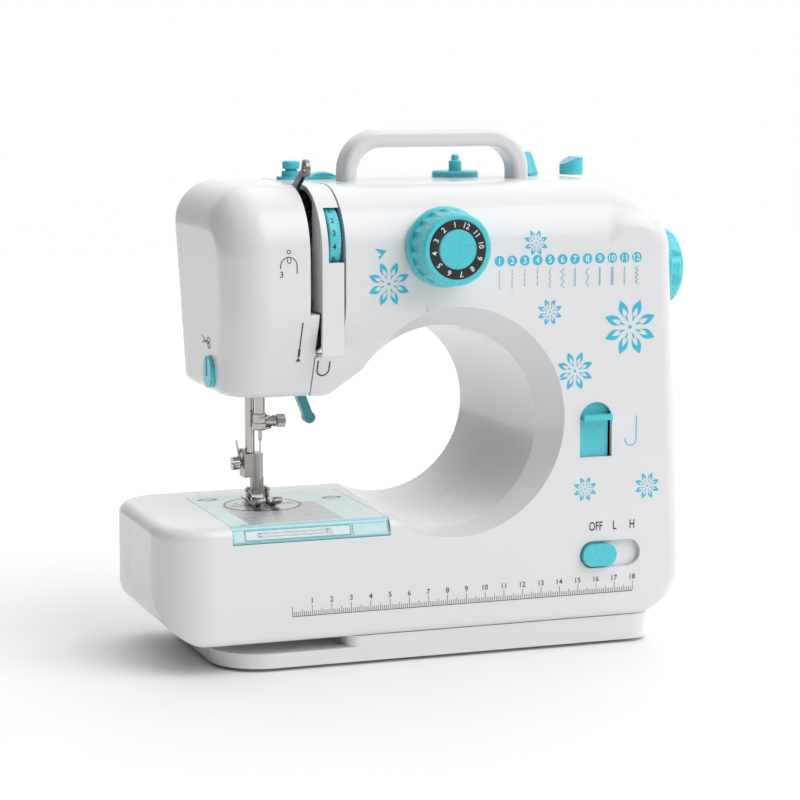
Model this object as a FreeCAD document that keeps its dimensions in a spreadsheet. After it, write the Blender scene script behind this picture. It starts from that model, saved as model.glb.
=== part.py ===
import FreeCAD, Part
import math
import os
import Sketcher
from FreeCAD import Placement, Rotation, Vector

# A small free-standing electric sewing machine. Millimetres, +Z up, origin on the floor under the middle.
# X runs from the needle end (-X) to the handwheel (+X), the side facing the user looks along -Y.

DRIVING = [
    ("front_y", -45), ("rear_y", 65), ("seam_y", 22), ("wall", 2.5),
    ("table_left", -140.5), ("table_top", 72.3), ("shell_low", 14.6), ("table_corner", 25),
    ("table_belly", 24),
    ("top_z", 233.5), ("top_round", 33), ("rear_round", 16), ("side_round", 8),
    ("column_top_x", 122.4), ("column_low_x", 133.3), ("column_top_round", 35), ("column_low_round", 26),
    ("arm_low", 131.5), ("chin_top", 173), ("chin_back", -27), ("cap_right", -61.8), ("arm_left", -61.2),
    ("head_top_x", -109.3), ("head_low_x", -103.5), ("head_round", 20),
    ("throat_x", 4.5), ("throat_z", 114), ("throat_front", 50.6), ("throat_rear", 47.6),
    ("bevel_x", 8.5), ("bevel_z", 117.5), ("bevel_radius", 57), ("bevel_depth", 13),
    ("slot_left", -66.5), ("slot_right", -60.5), ("slot_back", -4.5), ("slot_wall_back", -31),
    ("strip_right", -49.6), ("strip_low", 151.5), ("channel", 1),
    ("shaft_y", -9), ("shaft_z", 188), ("shaft_radius", 4), ("crank_radius", 12),
    ("lower_y", -4), ("lower_z", 34), ("lower_radius", 3),
    ("needle_x", -74.3), ("needle_y", 15), ("bar_radius", 2.5), ("presser_x", -77), ("presser_y", 24),
    ("hook_y", -4), ("hook_radius", 17.8), ("hook_low", 46), ("hook_high", 64),
    ("dial_x", 1), ("dial_z", 204), ("dial_radius", 18.4), ("dial_height", 19.4), ("dial_flange", 19.65),
    ("wheel_x", 126.3), ("wheel_flange", 26.5), ("wheel_grip", 20.5), ("wheel_length", 14.2),
    ("cover_left", -105.8), ("cover_right", -26.5), ("cover_front", -42), ("cover_back", 42),
    ("cover_thick", 1.5), ("plate_y", 12.5), ("plate_radius", 19.5),
    ("plate_left", -111), ("plate_right", 116.5), ("plate_low", 1.8), ("plate_ledge", 9),
    ("slot_end", -47.5), ("handle_left", -33.5), ("handle_right", 65.7), ("handle_top", 259),
    ("handle_y", 11), ("handle_depth", 16), ("tension_y", -26.5), ("tension_z", 207), ("tension_radius", 17),
    ("spool_x", 37.4), ("winder_x", 75.5), ("top_parts_y", 35), ("frame_y", 46),
]

doc = FreeCAD.newDocument("sewing_machine")
sheet = doc.addObject("Spreadsheet::Sheet", "Size")
for row, (alias, value) in enumerate(DRIVING, start=1):
    sheet.set(f"A{row}", str(value))
    sheet.setAlias(f"A{row}", alias)
doc.recompute()

NODES = {}
AXES = {"x": Vector(1, 0, 0), "y": Vector(0, 1, 0), "z": Vector(0, 0, 1),
        "-x": Vector(-1, 0, 0), "-y": Vector(0, -1, 0), "-z": Vector(0, 0, -1)}


def size(text):
    """The value of a number, or of an expression such as 'Size.top_z - 2'."""
    if isinstance(text, (int, float)):
        return float(text)
    return float(sheet.evalExpression(text))


def bind(thing, prop, text):
    """Sets a property, and ties it to the sheet where it is given as an expression."""
    if isinstance(text, str):
        thing.setExpression(prop, text)


def keep(thing, name):
    """Marks a finished piece as a node of the machine."""
    thing.Label = name
    NODES[name] = thing
    return thing


def put(thing, spot, way="z"):
    """Turns a piece's own Z towards an axis and moves its origin to a spot."""
    thing.Placement = Placement(Vector(*(size(c) for c in spot)), Rotation(AXES["z"], AXES[way]))
    for letter, text in zip("xyz", spot):
        bind(thing, f"Placement.Base.{letter}", text)
    return thing


def rod(name, radius, length, spot, way="z"):
    thing = doc.addObject("Part::Cylinder", name)
    thing.Radius, thing.Height = size(radius), size(length)
    bind(thing, "Radius", radius)
    bind(thing, "Height", length)
    return put(thing, spot, way)


def cone(name, low_radius, high_radius, length, spot, way="z"):
    thing = doc.addObject("Part::Cone", name)
    thing.Radius1, thing.Radius2, thing.Height = size(low_radius), size(high_radius), size(length)
    bind(thing, "Height", length)
    return put(thing, spot, way)


def block(name, low, high):
    """A box between two corners, each coordinate a number or an expression."""
    thing = doc.addObject("Part::Box", name)
    for prop, a, b in zip(("Length", "Width", "Height"), low, high):
        setattr(thing, prop, size(b) - size(a))
        if isinstance(a, str) or isinstance(b, str):
            thing.setExpression(prop, f"({b}) - ({a})")
    return put(thing, low)


def join(name, pieces):
    thing = doc.addObject("Part::MultiFuse", name)
    thing.Shapes = pieces
    thing.Refine = True
    return thing


def group(name, pieces):
    """Several separate solids that share one node."""
    thing = doc.addObject("Part::Compound", name)
    thing.Links = pieces
    return thing


def cut(name, base, tools):
    thing = doc.addObject("Part::Cut", name)
    thing.Base = base
    thing.Tool = tools[0] if len(tools) == 1 else join(name + "_tools", tools)
    thing.Refine = True
    return thing


def fixed(name, shape):
    """A free-form shape, worked out from the sheet's sizes."""
    thing = doc.addObject("Part::Feature", name)
    thing.Shape = shape
    return thing


def origin_plane(body, role):
    return next(plane for plane in body.Origin.OriginFeatures if plane.Role == role)


def new_sketch(body, role, name, start=0):
    sketch = body.newObject("Sketcher::SketchObject", name)
    sketch.AttachmentSupport = (origin_plane(body, role), [""])
    sketch.MapMode = "FlatFace"
    sketch.AttachmentOffset = Placement(Vector(0, 0, size(start)), Rotation())
    bind(sketch, "AttachmentOffset.Base.z", start)
    return sketch


def pin_point(sketch, index, u, v, end=1):
    """Ties one end of a sketch line to a place, each coordinate a number or an expression."""
    for kind, text in (("DistanceX", u), ("DistanceY", v)):
        rule = sketch.addConstraint(Sketcher.Constraint(kind, -1, 1, index, end, size(text)))
        bind(sketch, f"Constraints[{rule}]", text)


def draw(sketch, points):
    """A closed outline of straight lines through the points."""
    first = sketch.GeometryCount
    spots = [Vector(size(u), size(v), 0) for u, v in points]
    count = len(spots)
    for i in range(count):
        sketch.addGeometry(Part.LineSegment(spots[i], spots[(i + 1) % count]), False)
    for i in range(count):
        sketch.addConstraint(Sketcher.Constraint("Coincident", first + i, 2, first + (i + 1) % count, 1))
    for i, (u, v) in enumerate(points):
        pin_point(sketch, first + i, u, v)


def ring(sketch, u, v, radius):
    """A circle with its centre and radius tied."""
    index = sketch.addGeometry(Part.Circle(Vector(size(u), size(v), 0), AXES["z"], size(radius)), False)
    pin_point(sketch, index, u, v, 3)
    rule = sketch.addConstraint(Sketcher.Constraint("Radius", index, size(radius)))
    bind(sketch, f"Constraints[{rule}]", radius)


def turned(name, points, spot, way="z", grips=None):
    """A lathe-turned piece: the outline of (radius, height) points spun about the piece's own Z.
    grips gives (count, circle radius, groove radius, low, high) of grooves cut round its rim."""
    body = doc.addObject("PartDesign::Body", name)
    outline = new_sketch(body, "XZ_Plane", name + "_outline")
    draw(outline, points)
    spin = body.newObject("PartDesign::Revolution", name + "_spin")
    spin.Profile = outline
    spin.ReferenceAxis = (outline, ["V_Axis"])
    spin.Angle = 360
    doc.recompute()
    if grips:
        count, circle, groove, low, high = grips
        groove_sketch = new_sketch(body, "XY_Plane", name + "_groove", low)
        ring(groove_sketch, circle, 0, groove)
        pocket = body.newObject("PartDesign::Pocket", name + "_pocket")
        pocket.Profile = groove_sketch
        pocket.Length = size(high) - size(low)
        pocket.Reversed = True
        doc.recompute()
        pattern = body.newObject("PartDesign::PolarPattern", name + "_grips")
        pattern.Originals = [pocket]
        pattern.Axis = (groove_sketch, ["N_Axis"])
        pattern.Angle = 360
        pattern.Occurrences = count
        body.Tip = pattern
        doc.recompute()
    return put(body, spot, way)


def slab(name, role, points, start, thick, holes=()):
    """A flat piece: an outline on one of the body's planes, padded along the plane's normal
    (XY_Plane: +Z, XZ_Plane: -Y, YZ_Plane: +X), with round holes (u, v, radius) through it."""
    body = doc.addObject("PartDesign::Body", name)
    outline = new_sketch(body, role, name + "_outline", start)
    draw(outline, points)
    for u, v, radius in holes:
        ring(outline, u, v, radius)
    pad = body.newObject("PartDesign::Pad", name + "_pad")
    pad.Profile = outline
    pad.Length = size(thick)
    bind(pad, "Length", thick)
    doc.recompute()
    return body


def rounded_wire(points, at):
    """A closed wire through (u, v, corner radius) points. at(u, v) places a point in space."""
    ends = []
    for i, (u, v, radius) in enumerate(points):
        corner = at(u, v)
        before = (at(*points[i - 1][:2]) - corner).normalize()
        after = (at(*points[(i + 1) % len(points)][:2]) - corner).normalize()
        half = math.acos(max(-1.0, min(1.0, before.dot(after)))) / 2
        if radius <= 0:
            ends.append((corner, corner, None))
            continue
        reach = radius / math.tan(half)
        centre = corner + (before + after).normalize() * (radius / math.sin(half))
        middle = centre + (corner - centre).normalize() * radius
        ends.append((corner + before * reach, corner + after * reach, middle))
    edges = []
    for i, (start, stop, middle) in enumerate(ends):
        if middle is not None:
            edges.append(Part.Arc(start, middle, stop).toShape())
        following = ends[(i + 1) % len(ends)][0]
        if (following - stop).Length > 1e-6:
            edges.append(Part.makeLine(stop, following))
    return Part.Wire(edges)


def on_xz(y):
    return lambda u, v: Vector(u, y, v)


def on_yz(x):
    return lambda u, v: Vector(x, u, v)


def on_xy(z):
    return lambda u, v: Vector(u, v, z)


def prism(points, at, reach):
    """A solid with a rounded outline, reaching along a vector."""
    return Part.Face(rounded_wire(points, at)).extrude(reach)


def middle_of(edge):
    return edge.valueAt((edge.FirstParameter + edge.LastParameter) / 2)


def blended(name, shape, rules):
    """Rounds the edges that the rules pick. Each rule is (test of the edge's middle, radius, end radius)."""
    base = fixed(name + "_base", shape)
    picked = []
    for number, edge in enumerate(shape.Edges, start=1):
        for test, start, stop in rules:
            if test(middle_of(edge), edge):
                picked.append((number, start, stop))
                break
    rounding = doc.addObject("Part::Fillet", name)
    rounding.Base = base
    rounding.Edges = picked
    doc.recompute()
    return rounding.Shape.copy()


# ---------------------------------------------------------------- the white shells

def straight(edge):
    return edge.Curve.TypeId == "Part::GeomLine"


def chin_cutter(inset):
    """The wedge that sets the arm's lower front back, with a soft crease where it starts."""
    front = size("Size.front_y") + inset
    crease_z = size("Size.chin_top") + inset * 0.6
    low = size("Size.arm_low") - 20
    slope = (size("Size.chin_back") - size("Size.front_y")) / (size("Size.chin_top") - size("Size.arm_low"))
    low_y = front + slope * (crease_z - low)
    wire = [(front, crease_z + 30, 0), (front, crease_z, 30), (low_y, low, 0), (front - 30, low, 0),
            (front - 30, crease_z + 30, 0)]
    return prism(wire, on_yz(size("Size.head_top_x") - 10), Vector(size("Size.throat_x") - 11.5 - size(
        "Size.head_top_x") + 10, 0, 0))


def column_and_arm(inset):
    """The right-hand column with the arm over the throat, before the throat is cut."""
    front, rear = size("Size.front_y") + inset, size("Size.rear_y") - inset
    top, low = size("Size.top_z") - inset, size("Size.shell_low") + inset
    left = size("Size.arm_left") - (12 if inset else 0)
    outline = [(left, top, 0),
               (size("Size.column_top_x") - inset, top, size("Size.column_top_round") - inset),
               (size("Size.column_low_x") - inset, low, size("Size.column_low_round") - inset),
               (-14, low, 0), (-14, size("Size.throat_z") - 4, 0),
               (-26 + inset, 152.3 + inset, 0),
               (-52.6, size("Size.arm_low") + inset, 8 + inset),
               (left, size("Size.arm_low") + inset, 0)]
    solid = prism(outline, on_xz(front), Vector(0, rear - front, 0))
    side = size("Size.side_round") - inset
    foot = 3 - inset
    corner_x = size("Size.column_top_x") - 25
    rules = []
    for y, across in ((front, size("Size.top_round") - inset), (rear, size("Size.rear_round") - inset)):
        rules += [
            (lambda p, e, y=y: abs(p.y - y) < 0.01 and straight(e) and abs(p.z - top) < 0.01, across, across),
            (lambda p, e, y=y: abs(p.y - y) < 0.01 and not straight(e) and p.x > corner_x and p.z > 150,
             across, side),
            (lambda p, e, y=y: abs(p.y - y) < 0.01 and straight(e) and p.x > corner_x and p.z > low + 5,
             side, side),
            (lambda p, e, y=y: abs(p.y - y) < 0.01 and not straight(e) and p.x > corner_x, side, foot),
            (lambda p, e, y=y: abs(p.y - y) < 0.01 and straight(e) and abs(p.z - low) < 0.01, foot, foot),
        ]
    return blended(f"column_{int(inset * 10)}", solid, rules)


def sewing_table(inset):
    """The low table under the needle, rounded in plan at its free end."""
    front, rear = size("Size.front_y") + inset, size("Size.rear_y") - inset
    low, top = size("Size.shell_low") + inset, size("Size.table_top") - inset
    corner = size("Size.table_corner") - inset
    outline = [(size("Size.table_left") + inset, front, corner), (60, front, 0), (60, rear, 0),
               (size("Size.table_left") + inset, rear, corner)]
    solid = prism(outline, on_xy(low), Vector(0, 0, top - low))
    rules = [
        (lambda p, e: abs(p.z - top) < 0.01 and p.x < 59, 6 - inset, 6 - inset),
        (lambda p, e: abs(p.z - low) < 0.01 and p.x < 59, 3 - inset, 3 - inset),
    ]
    solid = blended(f"table_{int(inset * 10)}", solid, rules)
    left, belly = size("Size.table_left") + inset, size("Size.table_belly") - inset
    side = [(left, top + 1, 0), (61, top + 1, 0), (61, low - 1, 0), (left + belly, low - 1, 0),
            (left + belly, low, 0), (left, low, belly)]
    return solid.common(prism(side, on_xz(front - 1), Vector(0, rear - front + 2, 0)))


def throat_cutter(inset):
    """The round opening: a slightly tapered tunnel with a wide bevel at its front mouth."""
    front, rear = size("Size.front_y"), size("Size.rear_y")
    centre = (size("Size.throat_x"), size("Size.throat_z"))
    mouth_y = front + size("Size.bevel_depth")
    tunnel = Part.makeCone(size("Size.throat_front") + inset, size("Size.throat_rear") + inset,
                           rear - mouth_y + 1, Vector(centre[0], mouth_y, centre[1]), AXES["y"])
    outer = Part.Circle(Vector(size("Size.bevel_x"), front - 0.05, size("Size.bevel_z")), AXES["y"],
                        size("Size.bevel_radius") + inset)
    inner = Part.Circle(Vector(centre[0], mouth_y + 0.05, centre[1]), AXES["y"],
                        size("Size.throat_front") + inset)
    rings = [Part.Wire([circle.toShape()]) for circle in (outer, inner)]
    mouth = Part.makeLoft(rings, True, True)
    entry = Part.makeCylinder(size("Size.bevel_radius") + inset, 1, Vector(
        size("Size.bevel_x"), front - 1.04, size("Size.bevel_z")), AXES["y"])
    return tunnel.fuse([mouth, entry])


def main_envelope(inset):
    arm = column_and_arm(inset).cut(chin_cutter(inset))
    return arm.fuse(sewing_table(inset)).cut(throat_cutter(inset))


def head_envelope(inset):
    """The head's end cap: a side profile drawn out along X, cut by the leaning end face and rounded."""
    front, rear = size("Size.front_y") + inset, size("Size.rear_y") - inset
    top, low = size("Size.top_z") - inset, size("Size.arm_low") + inset
    profile = [(front, low, 0), (front, top, size("Size.top_round") - inset),
               (rear, top, size("Size.rear_round") + 4 - inset), (rear, low, 0)]
    right = size("Size.cap_right") + (3 if inset else 0)
    left = size("Size.head_top_x") - 20
    solid = prism(profile, on_yz(left), Vector(right - left, 0, 0)).cut(chin_cutter(inset))
    lean = [(size("Size.head_low_x") + inset, low, 0), (size("Size.head_top_x") + inset, top, 0),
            (left - 10, top + 10, 0), (left - 10, low - 10, 0),
            (size("Size.head_low_x") + inset + 0.8, low - 10, 0)]
    solid = solid.cut(prism([(lean[0][0] + 0.8, low - 10, 0), (lean[1][0] - 0.8, top + 10, 0),
                             (left - 10, top + 10, 0), (left - 10, low - 10, 0)],
                            on_xz(front - 30), Vector(0, 200, 0)))
    wide = size("Size.head_round") - inset
    rules = [(lambda p, e: p.x < -100 and p.z > low + 1, wide, wide)]
    solid = blended(f"head_side_{int(inset * 10)}", solid, rules)
    foot = 5 - inset * 0.8
    rules = [(lambda p, e: abs(p.z - low) < 0.01 and p.x < right - 0.1, foot, foot)]
    return blended(f"head_{int(inset * 10)}", solid, rules)


def corner_box(low, high):
    """A plain box shape between two corners."""
    low, high = Vector(*(size(c) for c in low)), Vector(*(size(c) for c in high))
    reach = high - low
    return Part.makeBox(reach.x, reach.y, reach.z, low)


def post(radius, length, spot, way="z"):
    """A plain cylinder shape."""
    return Part.makeCylinder(size(radius), size(length), Vector(*(size(c) for c in spot)), AXES[way])


def white_shells():
    wall = size("Size.wall")
    seam, slot_back, strip_low = size("Size.seam_y"), size("Size.slot_back"), size("Size.strip_low")
    strip_right = size("Size.strip_right") + size("Size.channel")
    outer, inner = main_envelope(0), main_envelope(wall)
    strip_room = corner_box((-75, -60, strip_low), (strip_right, slot_back, 250))
    strip_wall = corner_box((-90, -60, strip_low - wall), (strip_right + wall, "Size.slot_wall_back", 250))
    shell = outer.cut(inner.cut(strip_wall)).cut(strip_room)
    top = size("Size.table_top")
    thick = size("Size.cover_thick")
    cover_room = corner_box((size("Size.cover_left") - 0.25, -60, top - thick - 0.05),
                            (size("Size.cover_right") + 0.25, "Size.cover_back + 0.25", top + 2))
    left = size("Size.cover_left") - 0.25
    lip_room = prism([(-60, 63.7, 0), (-43.2, 63.7, 0), (-43.2, 65.4, 0), (-40, 71.2, 0), (-40, top + 2, 0),
                      (-60, top + 2, 0)], on_yz(left), Vector(size("Size.cover_right") + 0.25 - left, 0, 0))
    hook_room = corner_box((-94.5, -25, 60), (-54.1, "Size.plate_y", top + 2))
    plate_ledge = post(17.5, 20, ("Size.needle_x", "Size.plate_y", 60))
    plate_seat = post("Size.plate_radius + 0.1", 3, ("Size.needle_x", "Size.plate_y", top - thick - 0.05))
    lever_slot = corner_box((-57.5, 31, 125), (-33, 39, 148.5))
    battery_room = corner_box((-29, -34, 12), (29, 28, 18))
    side_holes = [
        post(3.4, 8, ("Size.dial_x", "Size.front_y - 1", "Size.dial_z"), "y"),
        post(4.7, 20, (115, "Size.shaft_y", "Size.shaft_z"), "x"),
        corner_box((73.9, -46, 96.5), (91.3, -42, 116)),
        post(8.7, 4, (82.6, -46, 115.6), "y"),
        corner_box((81.5, -46, 39.9), (100.6, -42, 53.8)),
        post(6.95, 4, (81.5, -46, 46.85), "y"),
        post(6.95, 4, (100.6, -46, 46.85), "y"),
        post(3.6, 8, ("Size.spool_x", "Size.top_parts_y", 228)),
        post(3.2, 8, ("Size.winder_x", "Size.top_parts_y", 228)),
        post(5.1, 12, (124, 36, 46), "x"),
        post(5.1, 12, (124, 36, 64), "x"),
    ]
    rooms = [cover_room, lip_room, hook_room, plate_ledge, plate_seat, lever_slot, battery_room]
    for tool in rooms + side_holes:
        shell = shell.cut(tool)
    screw_seats = [post(3.3, 1.6, (x, "Size.rear_y + 0.1", z), "-y") for x, z in SCREW_SPOTS]
    front_half = shell.cut(corner_box((-200, seam - 0.1, -10), (200, 100, 300)))
    rear_half = shell.cut(corner_box((-200, -100, -10), (200, seam + 0.1, 300))).cut(screw_seats)
    keep(fixed("front_cover", front_half), "front_cover")
    keep(fixed("rear_cover", rear_half), "rear_cover")


SCREW_SPOTS = [(-125, 43), (-60, 43), (112, 43), (105, 214), (-44, 214), (108, 120)]


def head_cap():
    wall = size("Size.wall")
    outer, inner = head_envelope(0), head_envelope(wall)
    slot_room = corner_box((-66.5, -60, "Size.chin_top"), (-50, "Size.slot_back", 250))
    slot_wall = corner_box((-66.5 - wall, -60, "Size.chin_top - Size.wall"),
                           (-50, "Size.slot_wall_back", 250))
    shell = outer.cut(inner.cut(slot_wall)).cut(slot_room)
    tools = [
        post(3.4, 12, ("Size.needle_x", "Size.needle_y", 125)),
        post(3.4, 12, ("Size.presser_x", "Size.presser_y", 125)),
        post(6.2, 12, (-88, -2, 125)),
        corner_box((-112, -9.2, 138), (-102.4, 4.2, 147)),
        post(6.7, 8, (-110.4, -2.5, 141.2), "x"),
        post(6.7, 8, (-110.4, -2.5, 143.8), "x"),
    ]
    keep(fixed("head_cap", shell.cut(tools)), "head_cap")


def guide_strip():
    """The narrow white strip between the two thread channels, curved over the top of the head."""
    thick = 2.5
    front, top, turn = size("Size.front_y"), size("Size.top_z"), size("Size.top_round")
    back, low = size("Size.slot_back") - 0.4, size("Size.strip_low") + 0.4
    left, right = size("Size.slot_right"), size("Size.strip_right")
    outer = [(front, low, 1.5), (front, top, turn), (back, top, 0), (back, top - thick, 0),
             (front + thick, top - thick, turn - thick), (front + thick, low, 0.5)]
    strip = prism(outer, on_yz(left), Vector(right - left, 0, 0))
    window = corner_box((-57.3, -60, 197.6), (-40, -10, 223.4))
    foot = corner_box((left, front + thick, low), (right, front + 11, low + 1.6))
    filled = prism([(front, low, 1.5), (front, top, turn), (back, top, 0), (back, low, 0)], on_yz(left),
                   Vector(right - left, 0, 0))
    web = filled.common(corner_box((left, front - 1, "Size.chin_top + 0.3"), (left + 1, -29, 240)))
    keep(fixed("thread_guide_strip", strip.cut(window).fuse([foot, web])), "thread_guide_strip")


def base_plate():
    low, ledge = size("Size.plate_low"), size("Size.plate_ledge")
    left, right = size("Size.plate_left"), size("Size.plate_right")
    floor = prism([(left, -43.5, 26), (right, -43.5, 12), (right, 63.5, 12), (left, 63.5, 26)],
                  on_xy(low), Vector(0, 0, ledge - low))
    slot_end = size("Size.slot_end")
    block_right = prism([(slot_end, -43.5, 6), (right, -43.5, 12), (right, 63.5, 12), (slot_end, 63.5, 6)],
                        on_xy(ledge - 1), Vector(0, 0, size("Size.shell_low") - ledge + 0.9))
    block_left = prism([(-100, -18, 8), (slot_end + 8, -18, 0), (slot_end + 8, 38, 0), (-100, 38, 8)],
                       on_xy(ledge - 1), Vector(0, 0, size("Size.shell_low") - ledge + 0.9))
    shape = floor.fuse([block_right, block_left])
    bay = corner_box((-28, -33.5, 3), (28.2, 27.5, 20))
    door_room = corner_box((-32.3, -37.3, 1), (32.3, 70, 4.3))
    feet = [post(7.2, 1.4, (x, y, low - 1)) for x, y in FEET_SPOTS]
    keep(fixed("base_plate", shape.cut([bay, door_room] + feet)), "base_plate")
    door = block("battery_door_panel", (-32, -37, 2), (32, 27.2, 4))
    grip = block("battery_door_grip", (-10, 20, 1.2), (10, 22, 2))
    keep(join("battery_door", [door, grip]), "battery_door")
    cells = []
    for i in range(4):
        y = -25.4 + i * 14.9
        tube = rod(f"cell_can_{i}", 7.2, 49.2, (-25 if i % 2 else -23.7, y, 12.2), "x")
        tip_x, way = (-25, "-x") if i % 2 else (25.5, "x")
        tip = rod(f"cell_tip_{i}", 2.7, 1.3, (tip_x, y, 12.2), way)
        cells.append(join(f"cell_{i}", [tube, tip]))
    keep(group("batteries", cells), "batteries")
    pads = [turned(f"foot_{i}", [(0, 0), (6.2, 0), (7, 0.8), (7, 2.2), (0, 2.2)], (x, y, 0))
            for i, (x, y) in enumerate(FEET_SPOTS)]
    keep(group("rubber_feet", pads), "rubber_feet")


FEET_SPOTS = [(-94, -26), (100, -30), (-94, 46), (100, 50)]


def carry_handle():
    left, right, top = size("Size.handle_left"), size("Size.handle_right"), size("Size.handle_top")
    low = size("Size.top_z")
    y = size("Size.handle_y") - size("Size.handle_depth") / 2
    outer = prism([(left, low - 20, 0), (left, top, 21), (right, top, 21), (right, low - 20, 0)], on_xz(y),
                  Vector(0, size("Size.handle_depth"), 0))
    inner = prism([(left + 7.4, low - 30, 0), (left + 7.4, top - 9, 13), (right - 8.4, top - 9, 13),
                   (right - 8.4, low - 30, 0)], on_xz(y - 5), Vector(0, size("Size.handle_depth") + 10, 0))
    loop = outer.cut(inner)
    rules = [(lambda p, e: abs(abs(p.y - size("Size.handle_y")) - size("Size.handle_depth") / 2) < 0.01
              and p.z > low - 19, 3.2, 3.2)]
    loop = blended("handle_loop", loop, rules)
    keep(fixed("carry_handle", loop.cut(corner_box((-60, -20, 150), (90, 40, low)))), "carry_handle")


def cover_screws():
    screws = []
    for i, (x, z) in enumerate(SCREW_SPOTS):
        head = rod(f"screw_head_{i}", 2.9, 1.2, (x, "Size.rear_y - 0.3", z), "-y")
        cross = [block(f"screw_cross_{i}_{k}", (x - a, "Size.rear_y - 0.9", z - b),
                       (x + a, "Size.rear_y", z + b))
                 for k, (a, b) in enumerate(((1.9, 0.35), (0.35, 1.9)))]
        screws.append(cut(f"screw_{i}", head, cross))
    keep(group("cover_screws", screws), "cover_screws")


# ---------------------------------------------------------------- dial, handwheel and upper shaft

def stitch_dial():
    y = "Size.front_y - 0.3"
    spot = ("Size.dial_x", y, "Size.dial_z")
    outline = [(3.05, 0), ("Size.dial_flange", 0), ("Size.dial_flange", 2.6), ("Size.dial_radius", 3.4),
               (17.5, "Size.dial_height - 1.2"), (16.3, "Size.dial_height - 0.2"),
               (14.45, "Size.dial_height - 0.2"), (14.45, 17.3), (3.05, 17.3)]
    keep(turned("stitch_dial", outline, spot, "-y", (18, 19.9, 2.6, 3.6, 20)), "stitch_dial")
    keep(turned("dial_number_ring", [(9.75, 17.4), (14.35, 17.4), (14.35, 19.1), (13.9, 19.4), (9.75, 19.4)],
                spot, "-y"), "dial_number_ring")
    keep(turned("dial_cap", [(0, 17.4), (9.65, 17.4), (9.65, 19.2), (9.1, 19.7), (0, 19.7)], spot, "-y"),
         "dial_cap")
    stem = rod("dial_stem", 3, 55, ("Size.dial_x", "Size.front_y - 17.3", "Size.dial_z"), "y")
    cams = [rod(f"cam_{i}", 14 - i, 2.6,
                (f"Size.dial_x + {0.8 * (i - 1)}", -33 + 4.2 * i, "Size.dial_z"), "y")
            for i in range(4)]
    keep(join("dial_shaft", [stem] + cams), "dial_shaft")


def handwheel():
    outline = [(4.02, 0), ("Size.wheel_flange", 0), ("Size.wheel_flange", 1.4), (24.4, 2.8), (21, 3.6),
               ("Size.wheel_grip", 5), (19.5, 9.2), (18, 11.6), (15.4, 13.3), (13, "Size.wheel_length"),
               (5.2, "Size.wheel_length"), (5.2, 13.2), (4.02, 13.2)]
    spot = ("Size.wheel_x", "Size.shaft_y", "Size.shaft_z")
    keep(turned("handwheel", outline, spot, "x", (10, 23.2, 4.8, 3.8, 16)), "handwheel")


def main_shaft():
    centre = ("Size.shaft_y", "Size.shaft_z")
    keep(rod("main_shaft", "Size.shaft_radius", 197, (-58, *centre), "x"), "main_shaft")
    disc = rod("crank_web", 16, 2.5, (-60.8, *centre), "x")
    pin = rod("crank_pin", 2.5, 9, (-67, "Size.shaft_y", "Size.shaft_z + Size.crank_radius"), "x")
    keep(join("crank_disc", [disc, pin, rod("crank_hub", 7, 2, (-60, *centre), "x")]), "crank_disc")
    keep(pulley("upper_pulley", 12, 107, centre, 4.02), "upper_pulley")
    bushes = []
    for i, x in enumerate((-44.5, 96)):
        sleeve = rod(f"bush_sleeve_{i}", 7, 6, (x, *centre), "x")
        bore = rod(f"bush_bore_{i}", 4.05, 8, (x - 1, *centre), "x")
        bushes.append(cut(f"bush_{i}", sleeve, [bore]))
    return bushes


def pulley(name, radius, x, centre, bore):
    """A flanged belt pulley on an X shaft."""
    outline = [(bore, 0), (radius + 1.6, 0), (radius + 1.6, 0.8), (radius - 0.4, 1.1), (radius - 0.4, 5.9),
               (radius + 1.6, 6.2), (radius + 1.6, 7), (bore, 7)]
    return turned(name, outline, (x, *centre), "x")


def belt(name, x, first, second):
    """A closed flat belt round two pulleys, each given as (y, z, radius)."""
    loops = []
    for grow in (0.2, 1.2):
        y1, z1, r1 = first[0], first[1], first[2] + grow
        y2, z2, r2 = second[0], second[1], second[2] + grow
        span = math.hypot(y2 - y1, z2 - z1)
        lean = math.atan2(z2 - z1, y2 - y1)
        turn = math.acos((r1 - r2) / span)
        marks = []
        for y, z, r, sign in ((y1, z1, r1, 1), (y2, z2, r2, 1), (y2, z2, r2, -1), (y1, z1, r1, -1)):
            a = lean + sign * turn
            marks.append(Vector(x, y + r * math.cos(a), z + r * math.sin(a)))
        far1 = Vector(x, y1 - r1 * math.cos(lean), z1 - r1 * math.sin(lean))
        far2 = Vector(x, y2 + r2 * math.cos(lean), z2 + r2 * math.sin(lean))
        runs = [Part.makeLine(marks[k], marks[k + 1]) for k in (0, 2)]
        bends = [Part.Arc(marks[1], far2, marks[2]).toShape(), Part.Arc(marks[3], far1, marks[0]).toShape()]
        loops.append(Part.Wire([runs[0], bends[0], runs[1], bends[1]]))
    inside, outside = (Part.Face(loop).extrude(Vector(4.4, 0, 0)) for loop in loops)
    return fixed(name, outside.cut(inside))


def connecting_rod():
    low_y, low_z = size("Size.needle_y"), 168
    high_y, high_z = size("Size.shaft_y"), size("Size.shaft_z") + size("Size.crank_radius")
    lean = Vector(0, low_y - high_y, low_z - high_z).normalize()
    side = Vector(0, -lean.z, lean.y) * 2.6
    top, end = Vector(-65.6, high_y, high_z), Vector(-65.6, low_y, low_z)
    bar = Part.Face(Part.makePolygon([top + side, end + side, end - side, top - side, top + side]))
    bar = bar.extrude(Vector(3.4, 0, 0))
    eyes = [Part.makeCylinder(5, 3.4, top, AXES["x"]), Part.makeCylinder(4, 3.4, end, AXES["x"])]
    bores = [Part.makeCylinder(2.55, 6, top - Vector(1, 0, 0), AXES["x"]),
             Part.makeCylinder(2, 6, end - Vector(1, 0, 0), AXES["x"])]
    keep(fixed("connecting_rod", bar.fuse(eyes).cut(bores)), "connecting_rod")


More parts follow.
